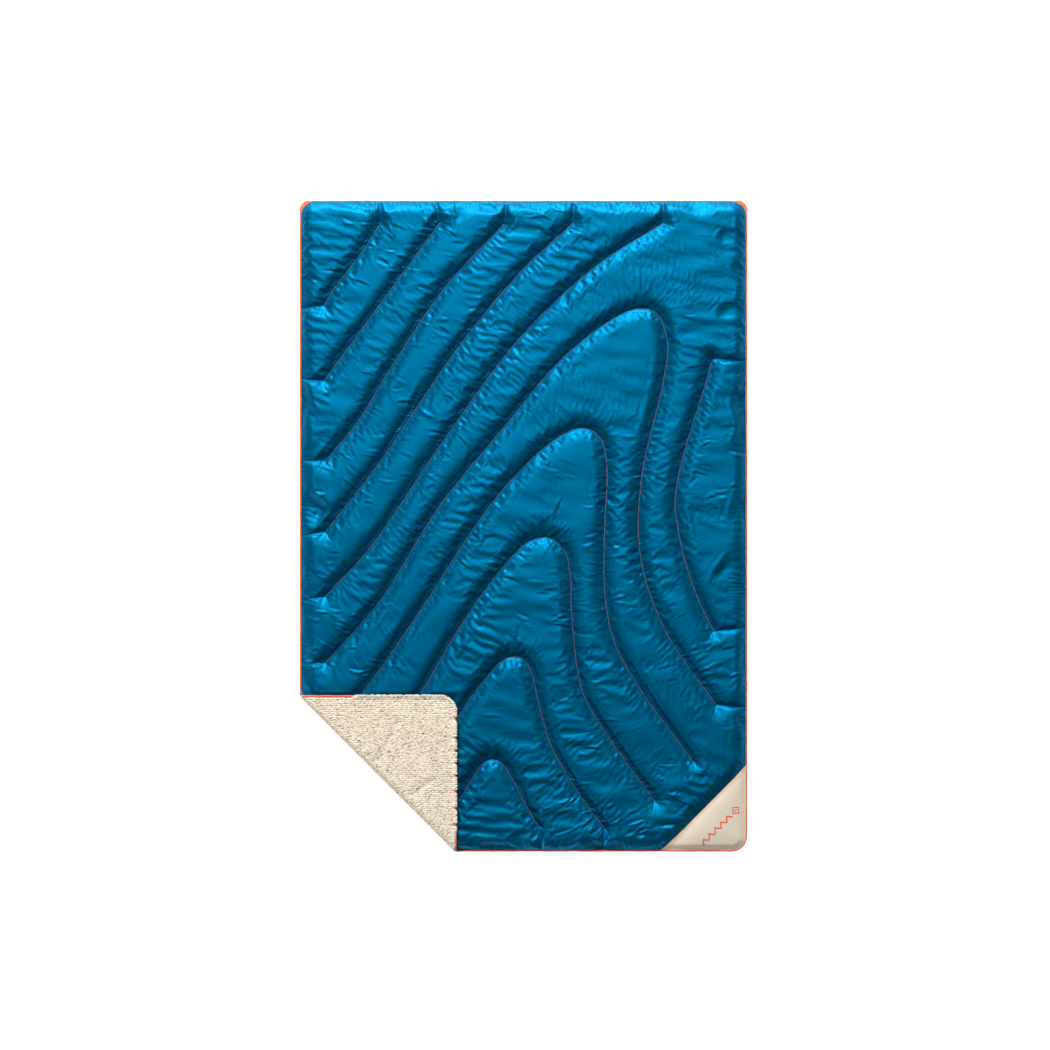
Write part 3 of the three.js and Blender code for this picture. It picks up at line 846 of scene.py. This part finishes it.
# The woven cloth shared by the top and the patch: crossing threads, and a stronger thread at every
# few millimetres both ways, which gives ripstop its faint squares.
weave_group, weave_in, weave_out = new_group(
    "woven_cloth",
    [
        ("Vector", "NodeSocketVector", (0, 0, 0)),
        ("Thread Spacing", "NodeSocketFloat", 0.0006),
        ("Square Size", "NodeSocketFloat", 0.005),
        ("Square Share", "NodeSocketFloat", 0.5),
    ],
    [("Height", "NodeSocketFloat"), ("Squares", "NodeSocketFloat")],
)
split = weave_group.nodes.new("ShaderNodeSeparateXYZ")
weave_group.links.new(weave_in.outputs["Vector"], split.inputs[0])
threads = []
squares = []
for axis in ("X", "Y"):
    threads.append(waves(weave_group, split.outputs[axis], weave_in.outputs["Thread Spacing"], "SINE"))
    wave = waves(weave_group, split.outputs[axis], weave_in.outputs["Square Size"], "COSINE")
    squares.append(maths(weave_group, "POWER", maths(weave_group, "MAXIMUM", wave, 0.0), 14.0))
thread = maths(weave_group, "MULTIPLY", threads[0], threads[1])
square = maths(weave_group, "MAXIMUM", squares[0], squares[1])
weave_group.links.new(square, weave_out.inputs["Squares"])
height = maths(
    weave_group, "ADD", maths(weave_group, "MULTIPLY", thread, 0.5),
    maths(weave_group, "MULTIPLY", square, weave_in.outputs["Square Share"]),
)
weave_group.links.new(height, weave_out.inputs["Height"])


def cloth_nodes(tree, shader, spacing, square_size, square_share, depth):
    """Puts woven cloth on a material, and gives its squares and its object coordinates."""
    place = tree.nodes.new("ShaderNodeTexCoord").outputs["Object"]
    weave = add_node(tree, "ShaderNodeGroup", node_tree=weave_group)
    tree.links.new(place, weave.inputs["Vector"])
    weave.inputs["Thread Spacing"].default_value = spacing
    weave.inputs["Square Size"].default_value = square_size
    weave.inputs["Square Share"].default_value = square_share
    add_bump(tree, shader, weave.outputs["Height"], depth)
    return weave.outputs["Squares"], place


def noise_node(tree, place, scale, detail=2.0):
    node = tree.nodes.new("ShaderNodeTexNoise")
    node.inputs["Scale"].default_value = scale
    node.inputs["Detail"].default_value = detail
    tree.links.new(place, node.inputs["Vector"])
    return node.outputs[0]


shell_blue, tree, shader = new_material("satin_ripstop_blue")
squares, place = cloth_nodes(tree, shader, 0.0007, 0.0045, 0.5, 0.00006)
broad = noise_node(tree, place, 3.0)
base = colour_mix(tree, broad, tone(0, 95, 133), tone(0, 107, 149))
base = stained(tree, base, squares, 0.10, tone(0, 84, 118))
tree.links.new(base, shader.inputs["Base Color"])
fine = noise_node(tree, place, 45.0, 3.0)
rough = maths(tree, "ADD", maths(tree, "MULTIPLY", fine, 0.10), 0.41)
tree.links.new(rough, shader.inputs["Roughness"])
shader.inputs["Metallic"].default_value = 0.62
shader.inputs["Specular IOR Level"].default_value = 0.5
shader.inputs["Specular Tint"].default_value = (0.0, 0.5, 0.85, 1)
shader.inputs["Sheen Weight"].default_value = 0.02
shader.inputs["Sheen Roughness"].default_value = 0.4
shader.inputs["Sheen Tint"].default_value = (0.0, 0.45, 0.8, 1)

for pad, body, nodes in (
    (pad_main, "blanket", ("shell_blanket", "insulation_blanket")),
    (pad_corner, "corner_flap", ("shell_flap", "insulation_flap")),
):
    finish_piece(pad, shell_blue, body, "shell", *nodes)


# Fleece backing: cream knitted sherpa with a dense curled pile. It shows on the turned back corner,
# where the fold rolls over softly, and its curls reach out over the piping in places.
FLEECE_INSET = 0.0030
FLEECE_THICK = 0.0058
FLEECE_EDGE = 0.0031
PILE = 0.0020
BACK_PILE = 0.0022
FOLD_PULL = 0.0030
CURL_PITCH = 0.0060
CURL_RADIUS = 0.0035
ROLL_POWER = 0.5
ROLL_RUN = FOLD_RADIUS * math.pi / 2 - FOLD_RADIUS
CORNER_CELLS = (32, 32)
CORNER_CUTS = 9
BACK_CELLS = (110, 160)
BACK_CUTS = 1
SPILL = 0.0046
SPILL_LIFT = 0.0056


def rolled(x, y, height, side):
    """Carries plies of the flat blanket round the fold. Side is 1 on the blanket, -1 on the corner."""
    past = past_fold(x, y)
    inside = side * past
    run = inside + FOLD_RADIUS
    angle = np.clip(run, 0, None) / FOLD_RADIUS
    radius = FOLD_RADIUS - height
    bent = run > 0
    angle = np.clip(angle, 0, math.pi / 2)
    inside_new = np.where(bent, -FOLD_RADIUS + radius * np.sin(angle) ** ROLL_POWER, inside)
    z = np.where(bent, FOLD_RADIUS - radius * np.cos(angle) ** ROLL_POWER, height)
    past_new = side * inside_new
    half = FOLD_LEG * SLANT
    share = np.where(bent, (half - past_new) / (half - past), 1)
    across = ((x - y) * SLANT - FOLD_MIDDLE) * share + FOLD_MIDDLE
    out = past_new + FOLD_DISTANCE
    return np.stack([(across - out) * SLANT, -(across + out) * SLANT, z], 1)


def curl_pattern(x, y, seed):
    """Curls in loose rows: how high the pile stands at each point, and a chance value for its curl."""
    stray_of = np.random.default_rng(seed)
    low = np.array((x.min() - 0.01, y.min() - 0.01))
    count = ((np.array((x.max(), y.max())) + 0.01 - low) / CURL_PITCH).astype(int) + 1
    spots = []
    values = []
    tree = KDTree(int(count[0] * count[1]))
    for j in range(count[1]):
        for i in range(count[0]):
            stray = stray_of.uniform(-0.2, 0.2, 2)
            spot = low + (np.array((i + 0.5 * (j % 2), j * 0.98)) * (0.95, 1) + stray) * CURL_PITCH
            tree.insert((*spot, 0), len(spots))
            spots.append(spot)
            values.append(stray_of.uniform(0, 1, 2))
    tree.balance()
    found = [tree.find_n((a, b, 0), 2) for a, b in zip(x.tolist(), y.tolist())]
    gap = np.array([pair[0][2] for pair in found])
    second = np.array([pair[1][2] for pair in found])
    which = np.array([pair[0][1] for pair in found])
    values = np.array(values)[which]
    stand = np.sqrt(np.clip(1 - (gap / CURL_RADIUS) ** 2, 0, 1))
    stand = stand * (0.65 + 0.35 * np.clip((second - gap) / (0.35 * CURL_PITCH), 0, 1))
    return stand * (0.72 + 0.55 * values[:, 0]), values[:, 1]


def give_values(piece, name, values):
    layer = piece.data.attributes.new(name, "FLOAT", "POINT")
    layer.data.foreach_set("value", np.asarray(values, np.float32))


def spilled(x, y, edge, stand):
    """Turned back corner: how far its curls reach out over the piping, and how deep the pile sinks."""
    tails = [seam_lines["h"], seam_lines["i"]]
    tails = [line[past_fold(line[:, 0], line[:, 1]) > 0.03] for line in tails]
    tail_gap = nearest(np.stack([x, y], 1), tails)[0]
    sunk = 0.0024 * np.exp(-((tail_gap / 0.010) ** 2))
    waver = sampled(wander[1], x, y)
    sunk = sunk + 0.0009 * sampled(wander_wide, x, y) + 0.0006 * waver
    by_side = beside_long_edge(x, y)
    wave = np.sin(2 * math.pi * np.where(by_side, y, x) / 0.047 + 1.3 * waver)
    closed = 1 - ease((wave - np.where(by_side, 0.93, 0.78)) / 0.12)
    clear_run = np.where(by_side, ease((-0.640 - y) / 0.03), 1)
    spill = clear_run * closed * np.exp(-((edge / 0.006) ** 2))
    calm = ease((abs(past_fold(x, y)) - 0.02) / 0.03)
    out = spill * (SPILL + 0.0022 * (stand - 0.5)) * calm
    out_x = np.where(by_side, np.sign(x), 0) * out
    out_y = np.where(by_side, 0, np.sign(y)) * out
    return out_x, out_y, sunk + 0.0022 * np.exp(-((edge / 0.003) ** 2)) - SPILL_LIFT * spill * calm


def shape_fleece(piece, side, pile):
    points = get_points(piece)
    outer = points[:, 2] < -SLAB_THICK / 2
    x, y = rounded(points[:, 0], points[:, 1], FLEECE_INSET)
    edge = from_edge(x, y) - FLEECE_INSET
    height = FLEECE_EDGE + (FLEECE_THICK - FLEECE_EDGE) * ease(edge / 0.024)
    xo, yo = x[outer], y[outer]
    edge = edge[outer]
    stand, curl_values = curl_pattern(yo, xo, 31)
    turn = np.clip(side * past_fold(xo, yo) + FOLD_RADIUS, 0, None) / FOLD_RADIUS
    swell = ease((turn - 0.75) / 0.6)
    if side < 0:
        out_x, out_y, sunk = spilled(xo, yo, edge, stand)
        x[outer] = xo + out_x
        y[outer] = yo + out_y
    else:
        sunk = 0.0018 * np.exp(-((edge / 0.003) ** 2))
    height[outer] = pile - pile * stand * (1 - 0.2 * swell) + sunk * (1 - swell) - FOLD_PULL * swell
    points = rolled(x, y, height, side)
    points[:, 2] = np.minimum(points[:, 2], FOLD_RADIUS - 0.0006)
    set_points(piece, points if side > 0 else turned_back(points))
    depth = np.zeros(len(points))
    depth[outer] = 1 - np.clip(stand, 0, 1)
    give_values(piece, "pile_depth", depth)
    chances = np.full(len(points), 0.5)
    chances[outer] = curl_values
    give_values(piece, "curl_chance", chances)
    smooth_shaded(piece)


corner_high = half_low + FOLD_LEG + 0.03
fleece_corner = slab("fleece_corner", half_low, corner_high, CORNER_CELLS, CORNER_CUTS, False)
cut_at_fold(fleece_corner, -ROLL_RUN + 0.0003, True)
shape_fleece(fleece_corner, -1, PILE)
fleece_back = slab("fleece_back", half_low, -half_low, BACK_CELLS, BACK_CUTS, False)
cut_at_fold(fleece_back, ROLL_RUN - 0.0003, False)
shape_fleece(fleece_back, 1, BACK_PILE)

fleece_cream, tree, shader = new_material("sherpa_cream")
place = tree.nodes.new("ShaderNodeTexCoord").outputs["Object"]
depth = add_node(tree, "ShaderNodeAttribute", attribute_name="pile_depth").outputs["Fac"]
curl = add_node(tree, "ShaderNodeAttribute", attribute_name="curl_chance").outputs["Fac"]
cream = colour_mix(tree, curl, tone(251, 239, 219), tone(235, 219, 193))
fibres = noise_node(tree, place, 900.0, 4.0)
cream = stained(tree, cream, fibres, 0.35, tone(255, 247, 231))
# Painted shade: the cream turns tan towards the bottom of the pits between the curls, where the pile shades
# itself.
cream = stained(tree, cream, maths(tree, "POWER", depth, 2.0), 0.45, tone(212, 184, 144))
# Painted shade: brown dots at the bottom of the deepest pits beside half of the curls, for the shadow down
# in the pile.
half = maths(tree, "GREATER_THAN", curl, 0.5)
deep = maths(tree, "MULTIPLY", half, maths(tree, "POWER", depth, 2.6))
cream = stained(tree, cream, deep, 0.95, tone(124, 76, 40))
few = maths(tree, "GREATER_THAN", curl, 0.965)
dark = maths(tree, "MULTIPLY", few, maths(tree, "GREATER_THAN", depth, 0.35))
cream = stained(tree, cream, dark, 0.75, tone(60, 44, 36))
few = maths(tree, "LESS_THAN", curl, 0.022)
rust = maths(tree, "MULTIPLY", few, maths(tree, "GREATER_THAN", depth, 0.3))
cream = stained(tree, cream, rust, 0.7, tone(186, 96, 62))
tree.links.new(cream, shader.inputs["Base Color"])
shader.inputs["Roughness"].default_value = 0.92
shader.inputs["Sheen Weight"].default_value = 0.35
shader.inputs["Sheen Roughness"].default_value = 0.6
add_bump(tree, shader, noise_node(tree, place, 620.0, 3.0), 0.0008, 0.8)

for fleece, body, node in (
    (fleece_back, "blanket", "fleece_blanket"),
    (fleece_corner, "corner_flap", "fleece_flap"),
):
    finish_piece(fleece, fleece_cream, body, "fleece", node)


# Piping: an orange cotton cord wrapped in a bias cut strip and sewn into the edge all round. At the
# folded corner it turns over with the fleece, so each body carries its own length.
PIPING_RADIUS = 0.0030
PIPING_HEIGHT = 0.0033
PIPING_STEP = 0.004
PIPING_SIDES = 12
PIPING_SWAY = 0.000175


def outline(inset, step, start_corner):
    """Points round the edge, that far in, clockwise from a corner: 0 is bottom left, 2 top right."""
    radius = CORNER_RADIUS - inset
    corners = ((-1, -1, 270), (-1, 1, 180), (1, 1, 90), (1, -1, 0))
    line = []
    for number in range(5):
        side_x, side_y, angle = corners[(start_corner + number) % 4]
        turns = np.radians(np.linspace(angle, angle - 90, 24))
        if number == 0:
            turns = turns[12:]
        if number == 4:
            turns = turns[:12]
        x = side_x * (WIDTH / 2 - CORNER_RADIUS) + radius * np.cos(turns)
        y = side_y * (LENGTH / 2 - CORNER_RADIUS) + radius * np.sin(turns)
        line.append(np.stack([x, y], 1))
    line = np.vstack(line)
    run = run_along(line)
    return places_at(line, run, np.linspace(0, run[-1], int(run[-1] / step)))


def tube(name, path, radii, sides):
    """A closed round tube along a path, as a curve turned into a mesh."""
    data = bpy.data.curves.new(name, "CURVE")
    data.dimensions = "3D"
    data.bevel_depth = 1.0
    data.bevel_resolution = sides // 4 - 1
    data.use_fill_caps = True
    spline = data.splines.new("POLY")
    spline.points.add(len(path) - 1)
    for point, place, radius in zip(spline.points, path, radii):
        point.co = (*place, 1)
        point.radius = radius
    piece = bpy.data.objects.new(name, data)
    bpy.context.scene.collection.objects.link(piece)
    select_only(piece)
    bpy.ops.object.convert(target="MESH")
    return bpy.context.object


def piping_length(name, side):
    line = outline(PIPING_RADIUS, PIPING_STEP, 0 if side > 0 else 2)
    line = line[side * past_fold(line[:, 0], line[:, 1]) < ROLL_RUN - 0.0004]
    at = np.arange(len(line)) * PIPING_STEP
    wave = np.random.default_rng(41 if side > 0 else 42).uniform(0, 2 * math.pi, 6)
    sway = np.sin(at / 0.021 + wave[0]) + np.sin(at / 0.0083 + wave[1]) + np.sin(at / 0.05 + wave[2])
    across = np.gradient(line, axis=0)
    across = np.stack([-across[:, 1], across[:, 0]], 1)
    across /= np.linalg.norm(across, axis=1)[:, None]
    line = line + across * sway[:, None] * PIPING_SWAY
    height = PIPING_HEIGHT + 0.00025 * np.sin(at / 0.017 + wave[3])
    path = rolled(line[:, 0], line[:, 1], height, side)
    ribs = np.sin(at / 0.0031 + wave[4]) * np.sin(at / 0.019 + wave[5])
    radii = PIPING_RADIUS * (1 + 0.035 * ribs)
    if side < 0:
        path = turned_back(path)
    piece = tube(name, path.tolist(), radii.tolist(), PIPING_SIDES)
    rings = np.arange(len(piece.data.vertices)) // PIPING_SIDES
    give_values(piece, "cord_run", at[np.minimum(rings, len(at) - 1)])
    smooth_shaded(piece, 50)
    return piece


piping_main = piping_length("corded_piping", 1)
piping_corner = piping_length("corded_piping_corner", -1)

# Twisted thread shared by the piping, the seams and the embroidery: slanting plies along a run.
twist_group, twist_in, twist_out = new_group(
    "twisted_thread",
    [
        ("Run", "NodeSocketFloat", 0.0),
        ("Vector", "NodeSocketVector", (0, 0, 0)),
        ("Ply Spacing", "NodeSocketFloat", 0.0012),
    ],
    [("Height", "NodeSocketFloat"), ("Shade", "NodeSocketFloat")],
)
stray = twist_group.nodes.new("ShaderNodeTexNoise")
stray.inputs["Scale"].default_value = 260.0
twist_group.links.new(twist_in.outputs["Vector"], stray.inputs["Vector"])
split = twist_group.nodes.new("ShaderNodeSeparateXYZ")
twist_group.links.new(twist_in.outputs["Vector"], split.inputs[0])
slant = maths(twist_group, "MULTIPLY", split.outputs["Z"], 0.7)
slant = maths(twist_group, "ADD", twist_in.outputs["Run"], slant)
wave = waves(twist_group, slant, twist_in.outputs["Ply Spacing"], "SINE")
wave = maths(twist_group, "ADD", wave, maths(twist_group, "MULTIPLY", stray.outputs[0], 0.8))
twist_group.links.new(wave, twist_out.inputs["Height"])
# Painted shade: the Shade output darkens the thread where the plies dip, in the hollows between them.
shade = maths(twist_group, "MULTIPLY", maths(twist_group, "SUBTRACT", 1.2, wave), 0.35)
shade = maths(twist_group, "MINIMUM", maths(twist_group, "MAXIMUM", shade, 0.0), 1.0)
twist_group.links.new(shade, twist_out.inputs["Shade"])


def thread_material(name, light, deep, spacing, depth, roughness):
    material, tree, shader = new_material(name)
    twist = add_node(tree, "ShaderNodeGroup", node_tree=twist_group)
    place = tree.nodes.new("ShaderNodeTexCoord").outputs["Object"]
    run = add_node(tree, "ShaderNodeAttribute", attribute_name="cord_run").outputs["Fac"]
    tree.links.new(run, twist.inputs["Run"])
    tree.links.new(place, twist.inputs["Vector"])
    twist.inputs["Ply Spacing"].default_value = spacing
    # The deep colour is painted shade, laid into the hollows between the plies by the Shade output.
    tree.links.new(colour_mix(tree, twist.outputs["Shade"], light, deep), shader.inputs["Base Color"])
    add_bump(tree, shader, twist.outputs["Height"], depth)
    shader.inputs["Roughness"].default_value = roughness
    shader.inputs["Sheen Weight"].default_value = 0.12
    shader.inputs["Sheen Tint"].default_value = (1.0, 0.62, 0.45, 1)
    return material


piping_orange = thread_material(
    "piping_orange", tone(255, 124, 82), tone(240, 82, 40), 0.0016, 0.0002, 0.6
)
for cord, body, nodes in (
    (piping_main, "blanket", ("piping_cover_blanket", "piping_cord_blanket")),
    (piping_corner, "corner_flap", ("piping_cover_flap", "piping_cord_flap")),
):
    finish_piece(cord, piping_orange, body, "piping", *nodes)


# Quilting stitches: heavy orange thread that runs through all plies, in lock stitches a few
# millimetres long that sit down in the valley of each seam.
STITCH_PITCH = 0.0054
STITCH_LENGTH = 0.0031
STITCH_WIDTH = 0.0015
STITCH_RISE = 0.0006
FOLD_CLEARANCE = 0.026


def stitch_row(name, places, ways, slopes, length, width):
    """One row of stitches as one mesh: each is a small spindle laid along the row."""
    bpy.ops.object.select_all(action="DESELECT")
    bpy.ops.mesh.primitive_uv_sphere_add(segments=6, ring_count=4, radius=1)
    piece = bpy.context.object
    piece.name = name
    shape = get_points(piece)
    shape = np.stack([shape[:, 2], shape[:, 0], shape[:, 1]], 1)
    shape[:, 0] = np.sign(shape[:, 0]) * abs(shape[:, 0]) ** 0.8
    shape = shape * (length / 2, width / 2, width / 2)
    faces = [list(face.vertices) for face in piece.data.polygons]
    count = len(shape)
    places = np.asarray(places)
    ahead = np.column_stack([ways[:, 0], ways[:, 1], slopes])
    ahead /= np.linalg.norm(ahead, axis=1)[:, None]
    beside = np.column_stack([-ways[:, 1], ways[:, 0], np.zeros(len(ways))])
    above = np.cross(ahead, beside)
    points = (
        places[:, None]
        + shape[None, :, 0:1] * ahead[:, None]
        + shape[None, :, 1:2] * beside[:, None]
        + shape[None, :, 2:3] * above[:, None]
    )
    all_faces = [[v + count * k for v in face] for k in range(len(places)) for face in faces]
    data = bpy.data.meshes.new(name)
    data.from_pydata(points.reshape(-1, 3).tolist(), [], all_faces)
    piece.data = data
    runs = (np.arange(len(places))[:, None] * length + shape[None, :, 0]).ravel()
    give_values(piece, "cord_run", runs)
    smooth_shaded(piece)
    return piece


def seam_stitches(name, line, corner):
    run = np.arange(0.5 * STITCH_PITCH, (len(line) - 1) * SEAM_STEP, STITCH_PITCH) / SEAM_STEP
    index = np.arange(len(line))
    x = np.interp(run, index, line[:, 0])
    y = np.interp(run, index, line[:, 1])
    ways = np.gradient(np.stack([x, y], 1), axis=0)
    ways /= np.linalg.norm(ways, axis=1)[:, None]
    height = top_surface(x, y)[2] + STITCH_RISE
    places = np.stack([x, y, height], 1)
    slopes = np.gradient(height) / STITCH_PITCH
    piece = stitch_row(name, places, ways, slopes, STITCH_LENGTH, STITCH_WIDTH)
    if corner:
        set_points(piece, turned_back(get_points(piece)))
    return piece


seam_orange = thread_material(
    "seam_thread_orange", tone(255, 118, 50), tone(206, 74, 24), 0.0009, 0.0001, 0.55
)
for letter, line in seam_lines.items():
    past = past_fold(line[:, 0], line[:, 1])
    for side, body, end in ((1, "blanket", "blanket"), (-1, "corner_flap", "flap")):
        node = f"quilt_thread_{letter}_{end}"
        kept = line[side * past < -FOLD_CLEARANCE]
        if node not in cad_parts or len(kept) < 6:
            continue
        row = seam_stitches(f"seam_{letter}_" + ("top" if side > 0 else "corner"), kept, side < 0)
        finish_piece(row, seam_orange, body, "thread", node)


# Corner patch: a plain beige oxford cloth triangle over the bottom right corner, its long side
# turned under and sewn down with two rows of tan thread, its short sides caught in the piping.
PATCH_CELLS = (64, 64)
PATCH_THICK = 0.0011
HEM_STITCH = 0.0026

patch_low = np.array((WIDTH / 2 - PATCH_LEG, -LENGTH / 2))
patch = slab("corner_patch_cloth", patch_low, patch_low + PATCH_LEG, PATCH_CELLS, 1, True)
select_only(patch)
bpy.ops.object.mode_set(mode="EDIT")
bpy.ops.mesh.select_all(action="SELECT")
bpy.ops.mesh.bisect(
    plane_co=(*patch_low, 0), plane_no=(SLANT, -SLANT, 0), use_fill=True, clear_inner=True
)
bpy.ops.object.mode_set(mode="OBJECT")
points = get_points(patch)
top = points[:, 2] > -SLAB_THICK / 2
x, y = rounded(points[:, 0], points[:, 1], SHELL_INSET - 0.0006)
z = patch_surface(x, y)
z[~top] -= PATCH_THICK
set_points(patch, np.stack([x, y, z], 1))
smooth_shaded(patch, 40)

patch_beige, tree, shader = new_material("patch_oxford_beige")
squares, place = cloth_nodes(tree, shader, 0.0009, 0.0018, 0.3, 0.00010)
cloudy = noise_node(tree, place, 16.0, 3.0)
base = colour_mix(tree, cloudy, tone(241, 227, 207), tone(228, 212, 190))
base = stained(tree, base, squares, 0.12, tone(190, 170, 140))
tree.links.new(base, shader.inputs["Base Color"])
shader.inputs["Roughness"].default_value = 0.75
shader.inputs["Sheen Weight"].default_value = 0.2
finish_piece(patch, patch_beige, "blanket", "patch", "corner_patch")


def hem_stitches(name, offset, pitch, width, material, *nodes):
    start = patch_low + np.array((SLANT, -SLANT)) * offset
    span = PATCH_LEG / SLANT
    steps = np.arange(0.006 + offset, span - 0.006 - offset, pitch)
    places = start + np.array((SLANT, SLANT)) * steps[:, None]
    height = patch_surface(places[:, 0], places[:, 1]) + 0.0002
    ways = np.tile((SLANT, SLANT), (len(steps), 1))
    slopes = np.gradient(height) / pitch
    points = np.column_stack([places, height])
    row = stitch_row(name, points, ways, slopes, HEM_STITCH, width)
    finish_piece(row, material, "blanket", "thread", *nodes)


hem_tan = thread_material(
    "hem_thread_tan", tone(206, 178, 146), tone(170, 138, 104), 0.0008, 0.0001, 0.7
)
hem_stitches("hem_stitches_outer", 0.0040, 0.0032, 0.0009, hem_tan, "patch_hem_thread_1")
hem_stitches("hem_stitches_inner", 0.0080, 0.0032, 0.0009, hem_tan, "patch_hem_thread_2")
hem_stitches("hem_stitches_edge", 0.0008, 0.0062, 0.0011, seam_orange)


# Embroidery on the patch: a plain zigzag and a diamond in orange satin stitch, close rows of thread
# laid side by side, which stand a little proud of the cloth.
MARK_OFFSET = 0.069
ZIGZAG_SPAN = (-0.078, 0.042)
ZIGZAG_PEAKS = 5
ZIGZAG_HEIGHT = 0.014
ZIGZAG_BAND = 0.005
DIAMOND_CENTRE = 0.062
DIAMOND_HALF = 0.012
DIAMOND_BAND = 0.0036
SATIN_STEP = 0.0007
EMBROIDERY_RISE = 0.0009


def on_patch(along, towards):
    x = WIDTH / 2 - PATCH_LEG / 2 + (along + towards) * SLANT
    y = -LENGTH / 2 + PATCH_LEG / 2 + (along - towards) * SLANT
    return x, y


def satin_band(name, path, band, closed):
    """A raised band of close stitches along a path of the patch."""
    path = np.asarray(path, float)
    if closed:
        path = np.vstack([path, path[:1]])
    run = run_along(path)
    count = int(run[-1] / SATIN_STEP)
    at = np.linspace(0, run[-1], count, endpoint=not closed)
    line = places_at(path, run, at)
    ahead = np.gradient(line, axis=0)
    if closed:
        ahead = np.roll(line, -2, axis=0) - np.roll(line, 2, axis=0)
    else:
        ahead[2:-2] = line[4:] - line[:-4]
    ahead /= np.linalg.norm(ahead, axis=1)[:, None]
    beside = np.stack([-ahead[:, 1], ahead[:, 0]], 1)
    profile = np.linspace(-1, 1, 7)
    bpy.ops.object.select_all(action="DESELECT")
    rungs = count + 1 if closed else count
    bpy.ops.mesh.primitive_grid_add(x_subdivisions=6, y_subdivisions=rungs - 1, size=1)
    piece = bpy.context.object
    piece.name = name
    points = []
    runs = []
    for k in range(rungs):
        m = k % count
        ridge = 0.00016 if k % 2 else 0.0
        for s in profile:
            flat = line[m] + beside[m] * s * band / 2
            x, y = on_patch(flat[0], flat[1])
            z = patch_surface(np.array([x]), np.array([y]))[0]
            rise = (EMBROIDERY_RISE - ridge) * math.sqrt(max(1 - s**4, 0)) - 0.0003
            points.append((x, y, z + rise))
            runs.append(at[m])
    set_points(piece, np.array(points))
    give_values(piece, "cord_run", runs)
    bpy.ops.object.mode_set(mode="EDIT")
    bpy.ops.mesh.select_all(action="SELECT")
    bpy.ops.mesh.remove_doubles(threshold=0.00002)
    bpy.ops.mesh.normals_make_consistent(inside=False)
    bpy.ops.object.mode_set(mode="OBJECT")
    add_thickness(piece, 0.0005)
    smooth_shaded(piece, 60)
    return piece


turns = np.linspace(*ZIGZAG_SPAN, 2 * ZIGZAG_PEAKS + 1)
zigzag_path = [(at, MARK_OFFSET + (-1) ** k * ZIGZAG_HEIGHT / 2) for k, at in enumerate(turns)]
ring = [
    (DIAMOND_CENTRE + DIAMOND_HALF * along, MARK_OFFSET + DIAMOND_HALF * towards)
    for along, towards in ((1, 0), (0, 1), (-1, 0), (0, -1))
]
bar = [(DIAMOND_CENTRE - 0.0045, MARK_OFFSET), (DIAMOND_CENTRE + 0.0045, MARK_OFFSET)]
satin_orange = thread_material(
    "embroidery_orange", tone(252, 122, 76), tone(228, 88, 46), 0.0012, 0.0001, 0.45
)
for name, path, band, closed, nodes in (
    ("embroidered_zigzag", zigzag_path, ZIGZAG_BAND, False, ["patch_zigzag"]),
    ("embroidered_diamond", ring, DIAMOND_BAND, True, ["patch_diamond"]),
    ("embroidered_diamond_bar", bar, DIAMOND_BAND, False, []),
):
    mark = satin_band(name, path, band, closed)
    finish_piece(mark, satin_orange, "blanket", "thread", *nodes)


# Corner loops: flat ribbed webbing, caught under the piping at the two top corners, that a cord or
# a small carabiner passes under.
LOOP_OUTER_RADIUS = 0.028
LOOP_RIBS = 5
LOOP_THICK = 0.0016


def corner_loop(name, node, side):
    low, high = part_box(node)
    bpy.ops.object.select_all(action="DESELECT")
    bpy.ops.mesh.primitive_grid_add(x_subdivisions=40, y_subdivisions=20, size=1)
    piece = bpy.context.object
    piece.name = name
    grid = get_points(piece)
    turn = (grid[:, 0] + 0.5) * math.pi / 2
    over = grid[:, 1] + 0.5
    inner = CORNER_RADIUS - 0.0045
    middle = np.array((WIDTH / 2 - CORNER_RADIUS, LENGTH / 2 - CORNER_RADIUS))
    shift = CORNER_RADIUS - LOOP_OUTER_RADIUS
    in_x, in_y = inner * np.cos(turn), inner * np.sin(turn)
    out_x = shift + LOOP_OUTER_RADIUS * np.cos(turn)
    out_y = shift + LOOP_OUTER_RADIUS * np.sin(turn)
    x = middle[0] + in_x + (out_x - in_x) * over
    y = middle[1] + in_y + (out_y - in_y) * over
    mid_z = (low.z + high.z) / 2
    z = mid_z + 0.0007 + 0.00025 * abs(np.sin(over * math.pi * LOOP_RIBS))
    z = z - 0.0006 * np.clip((over - 0.85) / 0.15, 0, 1)
    set_points(piece, np.stack([side * x, y, z], 1))
    bpy.ops.object.mode_set(mode="EDIT")
    bpy.ops.mesh.select_all(action="SELECT")
    bpy.ops.mesh.normals_make_consistent(inside=False)
    bpy.ops.object.mode_set(mode="OBJECT")
    if facing_up(piece).mean() < 0:
        piece.data.flip_normals()
    add_thickness(piece, LOOP_THICK)
    give_values(piece, "cord_run", get_points(piece)[:, :2].sum(axis=1) * 0.5)
    smooth_shaded(piece, 40)
    return piece


webbing_orange = thread_material(
    "webbing_orange", tone(255, 132, 92), tone(242, 88, 46), 0.0018, 0.0002, 0.6
)
for side, corner in ((-1, "left"), (1, "right")):
    loop = corner_loop(f"webbing_loop_{corner}", f"corner_loop_{corner}", side)
    finish_piece(loop, webbing_orange, "blanket", "webbing", f"corner_loop_{corner}")
